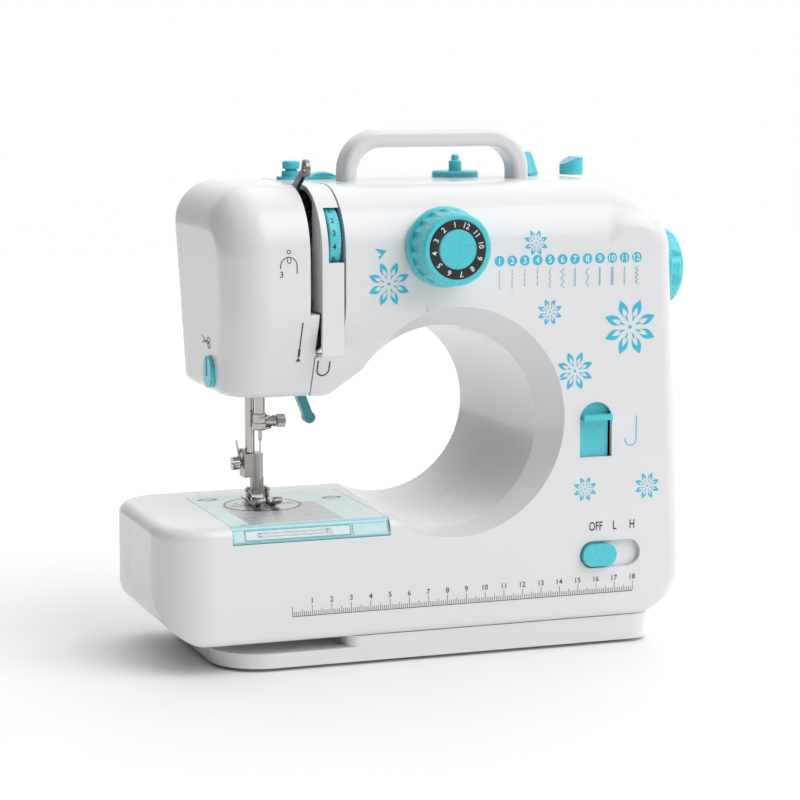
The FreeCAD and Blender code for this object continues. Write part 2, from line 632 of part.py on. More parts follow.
def take_up():
    pivot, eye = Vector(-64.5, 10, 219), Vector(-64.5, -29, 242)
    way = (eye - pivot).normalize()
    side = Vector(0, -way.z, way.y)
    arm = Part.Face(Part.makePolygon([pivot + side * 3, eye + side * 1.7, eye - side * 1.7, pivot - side * 3,
                                      pivot + side * 3])).extrude(Vector(2, 0, 0))
    ends = [Part.makeCylinder(4.4, 2, pivot, AXES["x"]), Part.makeCylinder(4.3, 2, eye, AXES["x"])]
    holes = [Part.makeCylinder(2.05, 4, pivot - AXES["x"], AXES["x"]),
             Part.makeCylinder(2.3, 4, eye - AXES["x"], AXES["x"])]
    keep(fixed("take_up_lever", arm.fuse(ends).cut(holes)), "take_up_lever")


def tension_unit():
    centre = ("Size.tension_y", "Size.tension_z")
    outline = [(2.06, 0), (16.4, 0), ("Size.tension_radius", 0.6), ("Size.tension_radius", 5), (16.4, 5.6),
               (2.06, 5.6)]
    keep(turned("tension_wheel", outline, (-56.2, *centre), "x"), "tension_wheel")
    discs = []
    for i, x in enumerate((-58.2, -57.3)):
        plate = turned(f"tension_disc_{i}", [(2.06, 0), (6, 0), (9.5, 0.3), (9.5, 0.8), (6, 0.5),
                                               (2.06, 0.5)], (x, *centre), "x")
        discs.append(plate)
    keep(group("tension_discs", discs), "tension_discs")


# ---------------------------------------------------------------- needle bar and presser bar

def needle_side():
    place = ("Size.needle_x", "Size.needle_y")
    bar = rod("needle_bar_rod", "Size.bar_radius", 106, (*place, 118.2))
    collar = rod("needle_bar_collar", 4.2, 6, (*place, 165))
    stud = rod("needle_bar_stud", 1.6, 7, ("Size.needle_x", "Size.needle_y", 168), "x")
    keep(join("needle_bar", [bar, collar, stud]), "needle_bar")
    outline = [(1.55, 0), (3.6, 0), (4, 0.6), (4, 3.2), (3.5, 3.8), (3.5, 7.6), (3.1, 8.2), (1.55, 8.2)]
    body = turned("clamp_ring", outline, (*place, 109.9))
    ear = rod("clamp_ear", 2.6, 5.2, ("Size.needle_x + 2", "Size.needle_y", 114), "x")
    hole = rod("clamp_hole", 1.25, 12, ("Size.needle_x", "Size.needle_y", 114), "x")
    shank = rod("clamp_bore", 1.1, 12, (*place, 109))
    keep(cut("needle_clamp", join("clamp_solid", [body, ear]), [hole, shank]), "needle_clamp")
    screw = [rod("thumb_stem", 1.2, 8.2, ("Size.needle_x + 1.5", "Size.needle_y", 114), "x"),
             rod("thumb_collar", 2.2, 1.6, ("Size.needle_x + 7.4", "Size.needle_y", 114), "x"),
             rod("thumb_head", 3.1, 3.2, ("Size.needle_x + 9.4", "Size.needle_y", 114), "x")]
    keep(join("needle_clamp_screw", screw), "needle_clamp_screw")
    shaft = rod("needle_shank", 1.0, 12, (*place, 105.5))
    blade = rod("needle_blade", 0.45, 21, (*place, 84.6))
    point = cone("needle_point", 0.05, 0.45, 6, (*place, 78.6))
    neck = cone("needle_neck", 0.45, 1.0, 1.5, (*place, 104.2))
    keep(join("needle", [shaft, blade, point, neck]), "needle")


def presser_side():
    place = ("Size.presser_x", "Size.presser_y")
    bar = rod("presser_rod", "Size.bar_radius", 117, (*place, 88))
    collar = rod("presser_collar", 5, 4, (*place, 153))
    stem = join("presser_stem", [bar, collar])
    arm = block("lift_arm", (-80.5, 21, 144), (-73.5, 39, 148))
    reach = block("lift_reach", (-80.5, 32.5, 144), (-48.5, 39, 148))
    eye = rod("lift_eye", 2.52, 8, (*place, 142))
    bracket = cut("lift_bracket", join("lift_solid", [arm, reach]), [eye])
    keep(group("presser_bar", [stem, bracket]), "presser_bar")
    coil = Part.makeHelix(4.6, 31.2, 4.1)
    section = Part.Wire([Part.Circle(Vector(4.1, 0, 0), AXES["y"], 0.7).toShape()])
    spring = Part.Wire(coil).makePipeShell([section], True, True)
    spring.translate(Vector(size("Size.presser_x"), size("Size.presser_y"), 157.8))
    keep(fixed("presser_spring", spring), "presser_spring")
    holder_x = size("Size.presser_x")
    main = block("holder_block", (holder_x - 4.2, 19.5, 85), (holder_x + 5.4, 28.5, 97))
    seat = rod("holder_bore", 2.5, 12, (*place, 88))
    step = block("holder_shoe", (holder_x - 0.3, 17.4, 76.4), (holder_x + 5.7, 23.5, 79.3))
    neck = block("holder_neck", (holder_x - 0.3, 19.5, 79), (holder_x + 5.7, 23.5, 85.2))
    thread = rod("holder_thread", 1.6, 4, (holder_x - 6, 24, 92), "x")
    ankle = rod("holder_ankle", 1.02, 14, (holder_x - 4, 20.4, 78.6), "x")
    solid = join("holder_solid", [main, step, neck])
    keep(cut("foot_holder", solid, [seat, thread, ankle]), "foot_holder")
    stem = rod("foot_screw_stem", 1.5, 4, (holder_x - 6.8, 24, 92), "x")
    head = rod("foot_screw_head", 3.4, 3.4, (holder_x - 9.6, 24, 92), "x")
    slot = block("foot_screw_slot", (holder_x - 10, 20, 91.6), (holder_x - 8.8, 28, 92.4))
    keep(cut("foot_screw", join("foot_screw_solid", [stem, head]), [slot]), "foot_screw")


def presser_foot():
    x, y, low = size("Size.needle_x"), size("Size.needle_y"), size("Size.table_top") + 0.95
    sole = [(y - 16, low + 3.4, 0.4), (y - 11, low, 3), (y + 10, low, 0.6), (y + 10, low + 1.8, 0.6),
            (y - 10.4, low + 1.8, 3), (y - 15.4, low + 5, 0.4)]
    shape = prism(sole, on_yz(x - 5.6), Vector(11.2, 0, 0))
    gap = corner_box((x - 1.7, y - 20, low - 1), (x + 1.7, y + 1.6, low + 8))
    ears = [corner_box((x - 5.4 + i * 8.8, y + 2.4, low + 1), (x - 3.4 + i * 8.8, y + 8, low + 6.6))
            for i in range(2)]
    axle = post(0.95, 10.6, (x - 5.3, y + 5.4, 78.6), "x")
    keep(fixed("presser_foot", shape.cut(gap).fuse(ears + [axle])), "presser_foot")


def presser_lever():
    pivot, tip = Vector(-52.4, 32.4, 137), Vector(-42.6, 32.4, 112)
    way = (tip - pivot).normalize()
    side = Vector(-way.z, 0, way.x) * 2.3
    arm = Part.Face(Part.makePolygon([pivot + side, tip + side, tip - side, pivot - side, pivot + side]))
    arm = arm.extrude(Vector(0, 5.2, 0))
    ends = [Part.makeCylinder(4, 5.2, pivot, AXES["y"]), Part.makeCylinder(3, 5.2, tip, AXES["y"])]
    bore = Part.makeCylinder(1.55, 8, pivot - AXES["y"], AXES["y"])
    keep(fixed("presser_lever", arm.fuse(ends).cut(bore)), "presser_lever")


def pivot_pins():
    pins = [rod("take_up_pin", 2, 16.2, (-66, 10, 219), "x"),
            rod("tension_post", 2, 11.6, (-60.2, "Size.tension_y", "Size.tension_z"), "x"),
            rod("presser_lever_pin", 1.5, 16.9, (-52.4, 29, 137), "y")]
    keep(group("pivot_pins", pins), "pivot_pins")


def bar_guides():
    """The upper and lower blocks that the needle bar and the presser bar slide in."""
    blocks = []
    for i, (low, high) in enumerate(((134.4, 141), (190.2, 198))):
        body = block(f"guide_block_{i}", (-82, 9, low), (-69.5, 45.9, high))
        bores = [rod(f"guide_needle_{i}", "Size.bar_radius + 0.05", 20,
                     ("Size.needle_x", "Size.needle_y", low - 5)),
                 rod(f"guide_presser_{i}", "Size.bar_radius + 0.05", 20,
                     ("Size.presser_x", "Size.presser_y", low - 5))]
        blocks.append(cut(f"guide_{i}", body, bores))
    keep(group("bar_guides", blocks), "bar_guides")


# ---------------------------------------------------------------- hook, feed and lower drive

def hook_side():
    hook = ("Size.needle_x", "Size.hook_y")
    low, high = size("Size.hook_low"), size("Size.hook_high")
    outline = [(0, low - 16), (2.5, low - 16), (2.5, low), ("Size.hook_radius", low),
               ("Size.hook_radius", high), (15.8, high), (15.8, low + 2), (0, low + 2)]
    cup = turned("hook_cup", outline, (*hook, 0))
    gear = cone("hook_gear", 5.4, 3.2, 3, (*hook, 30.4))
    keep(join("rotary_hook", [cup, gear]), "rotary_hook")
    case = [(0, low + 2.4), (15.3, low + 2.4), (15.3, high - 0.4), (12.6, high - 0.4), (12.6, low + 4),
            (0, low + 4)]
    keep(turned("bobbin_case", case, (*hook, 0)), "bobbin_case")
    base = low + 4.4
    bobbin = [(3, base), (10.2, base), (10.2, base + 1), (4.4, base + 1), (4.4, base + 10.6),
              (10.2, base + 10.6), (10.2, base + 11.6), (3, base + 11.6)]
    keep(turned("bobbin", bobbin, (*hook, 0)), "bobbin")


def feed_side():
    x, y = size("Size.needle_x"), size("Size.needle_y")
    rows = []
    for i, side in enumerate((-1, 1)):
        centre = x + side * 3.9
        outline = [(y - 8, 66.2), (y + 9, 66.2), (y + 9, 71.2)]
        teeth = 10
        pitch = 17 / teeth
        for k in range(teeth):
            start = y + 9 - k * pitch
            outline += [(start, 72.5), (start - pitch + 0.05, 71.4)]
        outline.append((y - 8, 71.2))
        rows.append(slab(f"feed_row_{i}", "YZ_Plane", outline, centre - 0.9, 1.8))
    bridge = block("feed_bridge", (x - 7, y + 9, 65.2), (x + 7, y + 20, 68))
    arms = [block(f"feed_arm_{i}", (x + side * 3.9 - 1.2, y - 8, 65.2), (x + side * 3.9 + 1.2, y + 12, 66.4))
            for i, side in enumerate((-1, 1))]
    keep(join("feed_dog", rows + [bridge] + arms), "feed_dog")
    plate = rod("plate_disc", "Size.plate_radius", "Size.cover_thick",
                ("Size.needle_x", "Size.plate_y", "Size.table_top - Size.cover_thick"))
    slots = [block(f"plate_slot_{i}", (x + side * 3.9 - 1.3, y - 10, 69), (x + side * 3.9 + 1.3, y + 11, 74))
             for i, side in enumerate((-1, 1))]
    hole = rod("plate_hole", 1.2, 6, (x, y, 69))
    keep(cut("needle_plate", plate, slots + [hole]), "needle_plate")


def sliding_cover():
    left, right = size("Size.cover_left"), size("Size.cover_right")
    top, thick, y = size("Size.table_top"), size("Size.cover_thick"), size("Size.plate_y")
    front = size("Size.front_y")
    profile = [(y - 0.15, top, 0), (front + 3.6, top, 3), (front, 65.2, 1), (front, 64, 0.4),
               (front + 1.5, 64, 0.4), (front + 1.5, 65.4, 1), (front + 4.6, top - thick, 0),
               (y - 0.15, top - thick, 0)]
    shape = prism(profile, on_yz(left), Vector(right - left, 0, 0))
    seat = post("Size.plate_radius + 0.3", 10, ("Size.needle_x", y, top - 5))
    window = corner_box((-95.6, -38.2, top - 5), (-47.4, y + 10, top + 5))
    keep(fixed("bobbin_cover", shape.cut([seat, window])), "bobbin_cover")
    pane = corner_box((-95.55, -38.15, top - thick), (-47.45, y - 0.15, top)).cut(seat)
    keep(fixed("bobbin_window", pane), "bobbin_window")
    insert = corner_box((left, y + 0.15, top - thick), (right, "Size.cover_back", top))
    keep(fixed("plate_surround", insert.cut(post("Size.plate_radius + 0.1", 10, (
        "Size.needle_x", y, top - 5)))), "plate_surround")


def lower_drive(upper_bushes):
    centre = ("Size.lower_y", "Size.lower_z")
    keep(rod("lower_shaft", "Size.lower_radius", 183, (-68, *centre), "x"), "lower_shaft")
    gear_place = (-68.2, *centre)
    gear = cone("drive_cone", 3.2, 8.4, 5, gear_place, "x")
    wheels = [cut("drive_gear", gear, [rod("drive_gear_bore", 3.02, 12, (-70, *centre), "x")]),
              pulley("lower_pulley", 12, 107, centre, 3.02),
              pulley("drive_pulley", 14, 98, centre, 3.02)]
    keep(group("lower_shaft_wheels", wheels), "lower_shaft_wheels")
    timing = belt("timing_belt", 108.3, (size("Size.shaft_y"), size("Size.shaft_z"), 11.6),
                  (size("Size.lower_y"), size("Size.lower_z"), 11.6))
    motor_belt = belt("motor_belt", 99.3, (size("Size.lower_y"), size("Size.lower_z"), 13.6), (30, 62, 4.6))
    keep(group("drive_belts", [timing, motor_belt]), "drive_belts")
    bushes = []
    for i, x in enumerate((-40, 84)):
        sleeve = rod(f"low_sleeve_{i}", 6, 6, (x, *centre), "x")
        bore = rod(f"low_bore_{i}", 3.05, 8, (x - 1, *centre), "x")
        bushes.append(cut(f"low_bush_{i}", sleeve, [bore]))
    keep(group("shaft_bushes", upper_bushes + bushes), "shaft_bushes")
    can = rod("motor_can", 14, 34, (56, 30, 62), "x")
    nose = rod("motor_nose", 5, 2, (90, 30, 62), "x")
    hole = rod("motor_hole", 1.6, 40, (60, 30, 62), "x")
    keep(cut("motor", join("motor_solid", [can, nose]), [hole]), "motor")
    spindle = [rod("motor_spindle", 1.5, 44, (61, 30, 62), "x"), pulley("motor_wheel", 5, 98, (30, 62), 1.52)]
    keep(group("motor_pulley", spindle), "motor_pulley")


def inner_frame():
    """The metal plate down the back of the machine, with arms that hold the bushes and guides."""
    y = size("Size.frame_y")
    plate = [(-84, 134.6, 0), (-84, 222, 6), (100, 222, 20), (116, 24, 10), (-60, 24, 6), (-60, 46, 6),
             (62, 46, 12), (62, 176, 30), (-44, 176, 10), (-58, 134.6, 0)]
    shape = prism(plate, on_xz(y), Vector(0, 3, 0))
    arms = [corner_box((x, y0, z - 9), (x + 6, y, z + 9))
            for x, y0, z in ((-44.5, -18, size("Size.shaft_z")), (96, -18, size("Size.shaft_z")),
                             (-40, -12, size("Size.lower_z")), (84, -12, size("Size.lower_z")))]
    bores = [post(r, 300, (-150, yy, zz), "x") for r, yy, zz in (
        (7, "Size.shaft_y", "Size.shaft_z"), (6, "Size.lower_y", "Size.lower_z"))]
    solid = shape
    for arm in arms:
        solid = solid.fuse(arm.cut(bores))
    keep(fixed("inner_frame", solid), "inner_frame")


# ---------------------------------------------------------------- controls, top parts and fittings

def controls():
    """The reverse lever and the speed switch on the column's front."""
    face = size("Size.front_y")
    paddle = block("reverse_paddle", (75, face + 2.8, 86), (90.2, face + 5.5, 134))
    shelf = block("reverse_shelf", (75, face - 3.5, 115.4), (90.2, face + 3, 118.2))
    stem = block("reverse_stem", (80, face + 4, 100), (85, face + 14, 106))
    keep(join("reverse_lever", [paddle, shelf, stem]), "reverse_lever")
    knob = fixed("switch_grip", prism([(75.4, 41.2, 5.6), (93.6, 41.2, 5.6), (93.6, 52.5, 5.6),
                                       (75.4, 52.5, 5.6)], on_xz(face - 2.6), Vector(0, 4.8, 0)))
    plate = block("switch_plate", (75.2, face + 2.8, 40.4), (94, face + 4.6, 53.3))
    peg = block("switch_peg", (83, face + 1, 44), (87, face + 10.2, 49.5))
    keep(join("switch_knob", [knob, plate, peg]), "switch_knob")
    board = block("switch_board_plate", (70, face + 14.5, 36), (112, face + 16.1, 58))
    body = block("switch_body", (78, face + 7, 41), (104, face + 14.5, 52.6))
    track = block("switch_track", (82.4, face + 6, 43.4), (99.6, face + 11, 50.1))
    keep(cut("switch_unit", join("switch_solid", [board, body]), [track]), "switch_unit")


def sockets():
    pieces = []
    for i, z in enumerate((46, 64)):
        shell = rod(f"socket_shell_{i}", 5, 14, (118, 36, z), "x")
        bore = rod(f"socket_bore_{i}", 2.9, 10, (123, 36, z), "x")
        pin = rod(f"socket_pin_{i}", 0.9, 8, (122, 36, z), "x")
        pieces.append(join(f"socket_{i}", [cut(f"socket_cup_{i}", shell, [bore]), pin]))
    keep(group("sockets", pieces), "sockets")


def top_parts():
    top, y = "Size.top_z", "Size.top_parts_y"
    disc = turned("spool_disc", [(3.45, 0), (12, 0), (12, 2.2), (11.2, 3), (3.45, 3)],
                  ("Size.spool_x", y, "Size.top_z + 0.05"))
    keep(disc, "spool_disc")
    pin = turned("spool_pin", [(0, -36), (3.3, -36), (3.3, 7.8), (2, 8.6), (2, 10.6), (1.2, 11.4), (0, 11.4)],
                 ("Size.spool_x", y, top))
    keep(pin, "spool_pin")
    hub = turned("winder_spindle", [(0, -18), (3, -18), (3, 0.4), (7.7, 0.4), (7.7, 1.4), (4.2, 11.4),
                                    (3.4, 12.2),
                                    (0, 12.2)], ("Size.winder_x", y, top))
    keep(hub, "winder_spindle")
    stop = prism([(95, size(top), 0), (110, size(top), 0), (110, size(top) + 8.4, 2),
                  (104, size(top) + 9.4, 3), (95, size(top) + 4.6, 2)], on_xz(size(y) - 8), Vector(0, 16, 0))
    keep(fixed("winder_stop", stop.common(post(6.2, 12, (102.5, y, top)))), "winder_stop")
    base = prism([(-58.5, 29, 6), (-27.5, 29, 6), (-27.5, 41, 6), (-58.5, 41, 6)], on_xy(size(top)),
                 Vector(0, 0, 1.5))
    leaf = Part.makeSphere(14, Vector(-35, 35, size(top) - 10.2)).common(
        corner_box((-43, 31, size(top) + 1), (-28, 39, size(top) + 6)))
    base = fixed("pretension_base", base.fuse(leaf))
    discs = turned("pretension_discs", [(0, 0), (4.9, 0), (4.9, 2.6), (3, 3), (3, 3.6), (4.5, 4), (4.5, 7.2),
                                        (3.8, 7.8), (0, 7.8)], (-51, y, "Size.top_z + 1.5"))
    keep(group("pretension_guide", [base, discs]), "pretension_guide")


def head_fittings():
    lens = turned("lamp_lens", [(0, 0), (4.6, 0), (6, 1.2), (6, 3.6), (0, 3.6)], (-88, -2, 130.4))
    keep(lens, "lamp_lens")
    shape = prism([(-9, 134.8, 6.2), (4, 134.8, 6.2), (4, 150.2, 6.2), (-9, 150.2, 6.2)], on_yz(-106.4),
                  Vector(3.6, 0, 0))
    notch = corner_box((-108, -3, 140.5), (-104.4, -0.6, 152))
    keep(fixed("thread_cutter", shape.cut(notch)), "thread_cutter")


white_shells()
head_cap()
guide_strip()
base_plate()
carry_handle()
cover_screws()
stitch_dial()
handwheel()
upper_bushes = main_shaft()
connecting_rod()
take_up()
tension_unit()
needle_side()
presser_side()
presser_foot()
presser_lever()
pivot_pins()
bar_guides()
hook_side()
feed_side()
sliding_cover()
lower_drive(upper_bushes)
inner_frame()
controls()
sockets()
top_parts()
head_fittings()
doc.recompute()

for thing in doc.Objects:
    if "Invalid" in thing.State or "Error" in thing.State:
        raise RuntimeError(f"{thing.Name} failed: {thing.State}")
for name, thing in NODES.items():
    if thing.Shape.isNull() or not thing.Shape.isValid():
        raise RuntimeError(f"{name} has no sound shape")

os.makedirs("parts", exist_ok=True)
for name, thing in NODES.items():
    thing.Shape.exportStep(f"parts/{name}.step")
    print(name, len(thing.Shape.Solids), round(thing.Shape.Volume))
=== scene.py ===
"""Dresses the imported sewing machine: finishes, printed marks, small fittings and the stage."""

import math

import bmesh
import bpy
from bpy.props import FloatProperty, FloatVectorProperty, PointerProperty
from bpy.types import Operator, Panel, PropertyGroup
from mathutils import Matrix, Vector
from mathutils.bvhtree import BVHTree


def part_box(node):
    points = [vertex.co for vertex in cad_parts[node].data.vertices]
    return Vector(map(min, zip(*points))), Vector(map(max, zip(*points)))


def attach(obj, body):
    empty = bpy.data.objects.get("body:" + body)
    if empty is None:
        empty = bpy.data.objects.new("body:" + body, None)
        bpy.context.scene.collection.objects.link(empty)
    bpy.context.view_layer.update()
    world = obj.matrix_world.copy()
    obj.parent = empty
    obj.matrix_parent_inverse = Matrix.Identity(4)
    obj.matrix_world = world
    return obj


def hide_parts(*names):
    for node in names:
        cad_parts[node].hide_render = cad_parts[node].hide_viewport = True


bl_info = {
    "name": "Sewing Machine",
    "version": (1, 0, 0),
    "blender": (4, 5, 0),
    "location": "View3D > Sidebar > Sewing machine",
    "description": "Finishes, printed marks, small fittings and a stage for a small sewing machine",
    "category": "Object",
}

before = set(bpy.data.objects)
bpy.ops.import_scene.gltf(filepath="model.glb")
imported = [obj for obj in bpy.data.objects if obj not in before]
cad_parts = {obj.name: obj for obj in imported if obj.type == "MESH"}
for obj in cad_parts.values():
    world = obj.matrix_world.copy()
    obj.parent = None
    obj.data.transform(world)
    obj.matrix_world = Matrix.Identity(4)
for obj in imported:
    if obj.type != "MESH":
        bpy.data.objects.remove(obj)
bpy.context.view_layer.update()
MM = 0.001
# turns of a shape's Z axis to another direction
TURNS = {
    "x": Matrix.Rotation(math.pi / 2, 4, "Y"),
    "-y": Matrix.Rotation(math.pi / 2, 4, "X"),
    "z": Matrix.Identity(4),
}
SPIN_STEPS = 64
# points nearer than this are one, in millimetres
NEAR = 1e-4
# a start for rays that is outside the machine in every direction, in millimetres
OUTSIDE = 400
# the stretch of a noise's values that most of a surface has
NOISE_LOW, NOISE_HIGH = 0.3, 0.7
BUMP_HEIGHT = 0.0002


def low(node):
    """A node's lowest corner at rest, in millimetres."""
    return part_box(node)[0] / MM


def high(node):
    """A node's highest corner at rest, in millimetres."""
    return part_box(node)[1] / MM


def middle(node):
    """The middle of a node's box at rest, in millimetres."""
    return (low(node) + high(node)) / 2


# ---------------------------------------------------------------- settings

def colour(name, text, value):
    """A colour setting."""
    return FloatVectorProperty(name=name, description=text, default=value, size=3, min=0, max=1,
                               subtype="COLOR")


class SewingColours(PropertyGroup):
    """The colours that a user would change."""

    white: colour("White", "Moulded white of the covers", (0.80, 0.80, 0.815))
    cyan: colour("Cyan", "Moulded cyan of the knobs", (0.075, 0.60, 0.68))
    teal: colour("Teal", "Darker cyan of the presser lever", (0.03, 0.30, 0.33))
    tint: colour("Tint", "Tint of the clear cover", (0.60, 0.86, 0.88))
    blue_ink: colour("Blue ink", "Printed flowers and stitch chart", (0.04, 0.52, 0.72))
    grey_ink: colour("Grey ink", "Printed marks and scale", (0.035, 0.035, 0.045))
    floor: colour("Floor", "The pale floor", (0.93, 0.93, 0.93))


class SewingSizes(PropertyGroup):
    """The sizes that a user would change, in metres."""

    ink: FloatProperty(name="Ink height", description="How far a printed mark stands off the plastic",
                       default=0.00006, min=0.00001, max=0.001, unit="LENGTH")
    chart_disc: FloatProperty(name="Chart disc", description="Diameter of a disc on the stitch chart",
                              default=0.0052, min=0.001, max=0.02, unit="LENGTH")
    chart_pitch: FloatProperty(name="Chart pitch", description="Distance from one chart disc to the next",
                               default=0.00669, min=0.001, max=0.02, unit="LENGTH")
    figure: FloatProperty(name="Figure height", description="Height of the figures on the scale",
                          default=0.0027, min=0.001, max=0.01, unit="LENGTH")


class SewingStage(PropertyGroup):
    """The stage that a user would change."""

    floor_size: FloatProperty(name="Floor size", description="Width of the floor", default=5, min=1,
                              unit="LENGTH")
    overhead: FloatProperty(name="Overhead light", description="Strength of the wide light above",
                            default=1.15, min=0)
    front: FloatProperty(name="Front light", description="Strength of the light at the front right",
                         default=1.3, min=0)
    sky: FloatProperty(name="Sky", description="Strength of the even light all round", default=1.0, min=0)


# ---------------------------------------------------------------- shapes, each a bmesh in millimetres

def together(*parts):
    """One bmesh from several."""
    whole = bmesh.new()
    for part in parts:
        mesh = bpy.data.meshes.new("part")
        part.to_mesh(mesh)
        part.free()
        whole.from_mesh(mesh)
        bpy.data.meshes.remove(mesh)
    return whole


def moved(part, spot=(0, 0, 0), way="z", spin=0.0):
    """Turns a bmesh's Z axis to another direction, then puts it in place."""
    bmesh.ops.transform(part, matrix=Matrix.Translation(spot) @ TURNS[way] @ Matrix.Rotation(spin, 4, "Z"),
                        verts=part.verts)
    return part


def soften(part, width, angle=35):
    """Bevels every edge sharper than an angle."""
    sharp = [e for e in part.edges if len(e.link_faces) == 2 and e.calc_face_angle(0) > math.radians(angle)]
    bmesh.ops.bevel(part, geom=sharp, offset=width, offset_type="OFFSET", affect="EDGES", segments=2,
                    profile=0.5, material=-1, clamp_overlap=True)
    return part


def turned(outline, spot=(0, 0, 0), way="z"):
    """A closed outline of (radius, height) points spun round an axis."""
    part = bmesh.new()
    points = [part.verts.new((radius, 0, height)) for radius, height in outline]
    edges = [part.edges.new(pair) for pair in zip(points, points[1:])]
    bmesh.ops.spin(part, geom=points + edges, cent=(0, 0, 0), axis=(0, 0, 1), angle=2 * math.pi,
                   steps=SPIN_STEPS, use_merge=True)
    bmesh.ops.remove_doubles(part, verts=part.verts, dist=NEAR)
    bmesh.ops.dissolve_degenerate(part, edges=part.edges, dist=NEAR / 10)
    bmesh.ops.recalc_face_normals(part, faces=part.faces)
    return moved(part, spot, way)


def rod(start, end, radius):
    """A straight round rod."""
    start, end = Vector(start), Vector(end)
    part = bmesh.new()
    bmesh.ops.create_cone(part, cap_ends=True, segments=32, radius1=radius, radius2=radius,
                          depth=(end - start).length)
    turn = (end - start).to_track_quat("Z", "Y").to_matrix().to_4x4()
    bmesh.ops.transform(part, matrix=Matrix.Translation((start + end) / 2) @ turn, verts=part.verts)
    return part


def block(corner, far_corner, rounding):
    """A block between two corners with softened edges."""
    corner, far_corner = Vector(corner), Vector(far_corner)
    part = bmesh.new()
    bmesh.ops.create_cube(part, size=1)
    bmesh.ops.scale(part, vec=far_corner - corner, verts=part.verts)
    bmesh.ops.translate(part, vec=(corner + far_corner) / 2, verts=part.verts)
    return soften(part, rounding)


def raised(part, faces, depth):
    """Makes flat faces at z 0 a solid up to a depth."""
    made = bmesh.ops.extrude_face_region(part, geom=faces)
    points = [thing for thing in made["geom"] if isinstance(thing, bmesh.types.BMVert)]
    bmesh.ops.translate(part, vec=(0, 0, depth), verts=points)
    bmesh.ops.recalc_face_normals(part, faces=part.faces)
    return part


def plate(points, depth):
    """A flat outline of (x, y) points made a plate, from z 0 up to its depth."""
    part = bmesh.new()
    face = part.faces.new([part.verts.new((x, y, 0)) for x, y in points])
    return raised(part, [face], depth)


def wire(points, radius):
    """A smooth wire along a few points."""
    data = bpy.data.curves.new("wire", "CURVE")
    data.dimensions = "3D"
    data.bevel_depth = radius
    data.bevel_resolution = 3
    data.resolution_u = 8
    data.use_fill_caps = True
    spline = data.splines.new("NURBS")
    spline.points.add(len(points) - 1)
    for point, spot in zip(spline.points, points):
        point.co = (*spot, 1)
    spline.order_u = 3
    spline.use_endpoint_u = True
    return as_bmesh(bpy.data.objects.new("wire", data), data)


def as_bmesh(thing, data):
    """A curve or text object as a bmesh, with the object removed."""
    mesh = bpy.data.meshes.new_from_object(thing)
    part = bmesh.new()
    part.from_mesh(mesh)
    bpy.data.meshes.remove(mesh)
    bpy.data.objects.remove(thing)
    bpy.data.curves.remove(data)
    bmesh.ops.remove_doubles(part, verts=part.verts, dist=NEAR)
    return part


def piece(name, part, finish, body, smooth=35):
    """Makes a bmesh in millimetres a piece that rides on a body."""
    bmesh.ops.scale(part, vec=(MM, MM, MM), verts=part.verts)
    mesh = bpy.data.meshes.new(name)
    part.to_mesh(mesh)
    part.free()
    mesh.materials.append(finish)
    mesh.shade_smooth()
    mesh.set_sharp_from_angle(angle=math.radians(smooth))
    thing = bpy.data.objects.new(name, mesh)
    bpy.context.scene.collection.objects.link(thing)
    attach(thing, body)
    return thing


# ---------------------------------------------------------------- flat printed shapes, in the XZ plane

def disc(radius, centre, segments=40):
    """A flat printed disc at (x, z)."""
    part = bmesh.new()
    bmesh.ops.create_circle(part, cap_ends=True, segments=segments, radius=radius)
    return moved(part, (centre[0], 0, centre[1]), "-y")


def stroke(start, end, width):
    """A flat printed line between two (x, z) points."""
    start, end = Vector(start), Vector(end)
    way = end - start
    part = bmesh.new()
    bmesh.ops.create_grid(part, x_segments=max(1, round(way.length / 2)), y_segments=1, size=0.5)
    bmesh.ops.scale(part, vec=(way.length, width, 1), verts=part.verts)
    bmesh.ops.rotate(part, matrix=Matrix.Rotation(math.atan2(way.y, way.x), 3, "Z"), verts=part.verts)
    return moved(part, ((start.x + end.x) / 2, 0, (start.y + end.y) / 2), "-y")


def strokes(points, width):
    """Flat printed lines through (x, z) points."""
    return together(*(stroke(a, b, width) for a, b in zip(points, points[1:])))


def arc(centre, radius, start, end, steps=16, flat=1.0):
    """Points on an arc in the XZ plane, with angles in degrees from +X."""
    angles = [math.radians(start + (end - start) * k / steps) for k in range(steps + 1)]
    return [(centre[0] + radius * math.cos(a), centre[1] + radius * flat * math.sin(a)) for a in angles]


def letters(text, height, centre, turn=0.0, weight=0.0, narrow=1.0):
    """Flat lettering of a given height, centred at (x, z)."""
    data = bpy.data.curves.new("letters", "FONT")
    data.body = text
    data.resolution_u = 3
    data.offset = weight
    part = as_bmesh(bpy.data.objects.new("letters", data), data)
    corners = [v.co for v in part.verts]
    lowest = Vector([min(c[i] for c in corners) for i in range(3)])
    highest = Vector([max(c[i] for c in corners) for i in range(3)])
    bmesh.ops.translate(part, vec=-(lowest + highest) / 2, verts=part.verts)
    grow = height / (highest.y - lowest.y)
    bmesh.ops.scale(part, vec=(grow * narrow, grow, 1), verts=part.verts)
    return moved(part, (centre[0], 0, centre[1]), "-y", turn)


def leaf(length, width, start, angle, segments=24):
    """A flat pointed leaf that starts off a centre and points outwards."""
    part = bmesh.new()
    bmesh.ops.create_circle(part, cap_ends=False, segments=segments, radius=1)
    for vert in part.verts:
        along = (vert.co.x + 1) / 2
        vert.co = (start + length * along, width * vert.co.y * (0.35 + 0.65 * math.sin(math.pi * along)), 0)
    return moved(part, spin=angle)


# length, half width and start of a petal's outlines and of its vein, as shares of the flower's span
PETAL_OUTLINES = ((0.35, 0.085, 0.15), (0.22, 0.04, 0.14))
PETAL_VEIN = (0.13, 0.018, 0.10)
FLOWER_EYE = 0.035


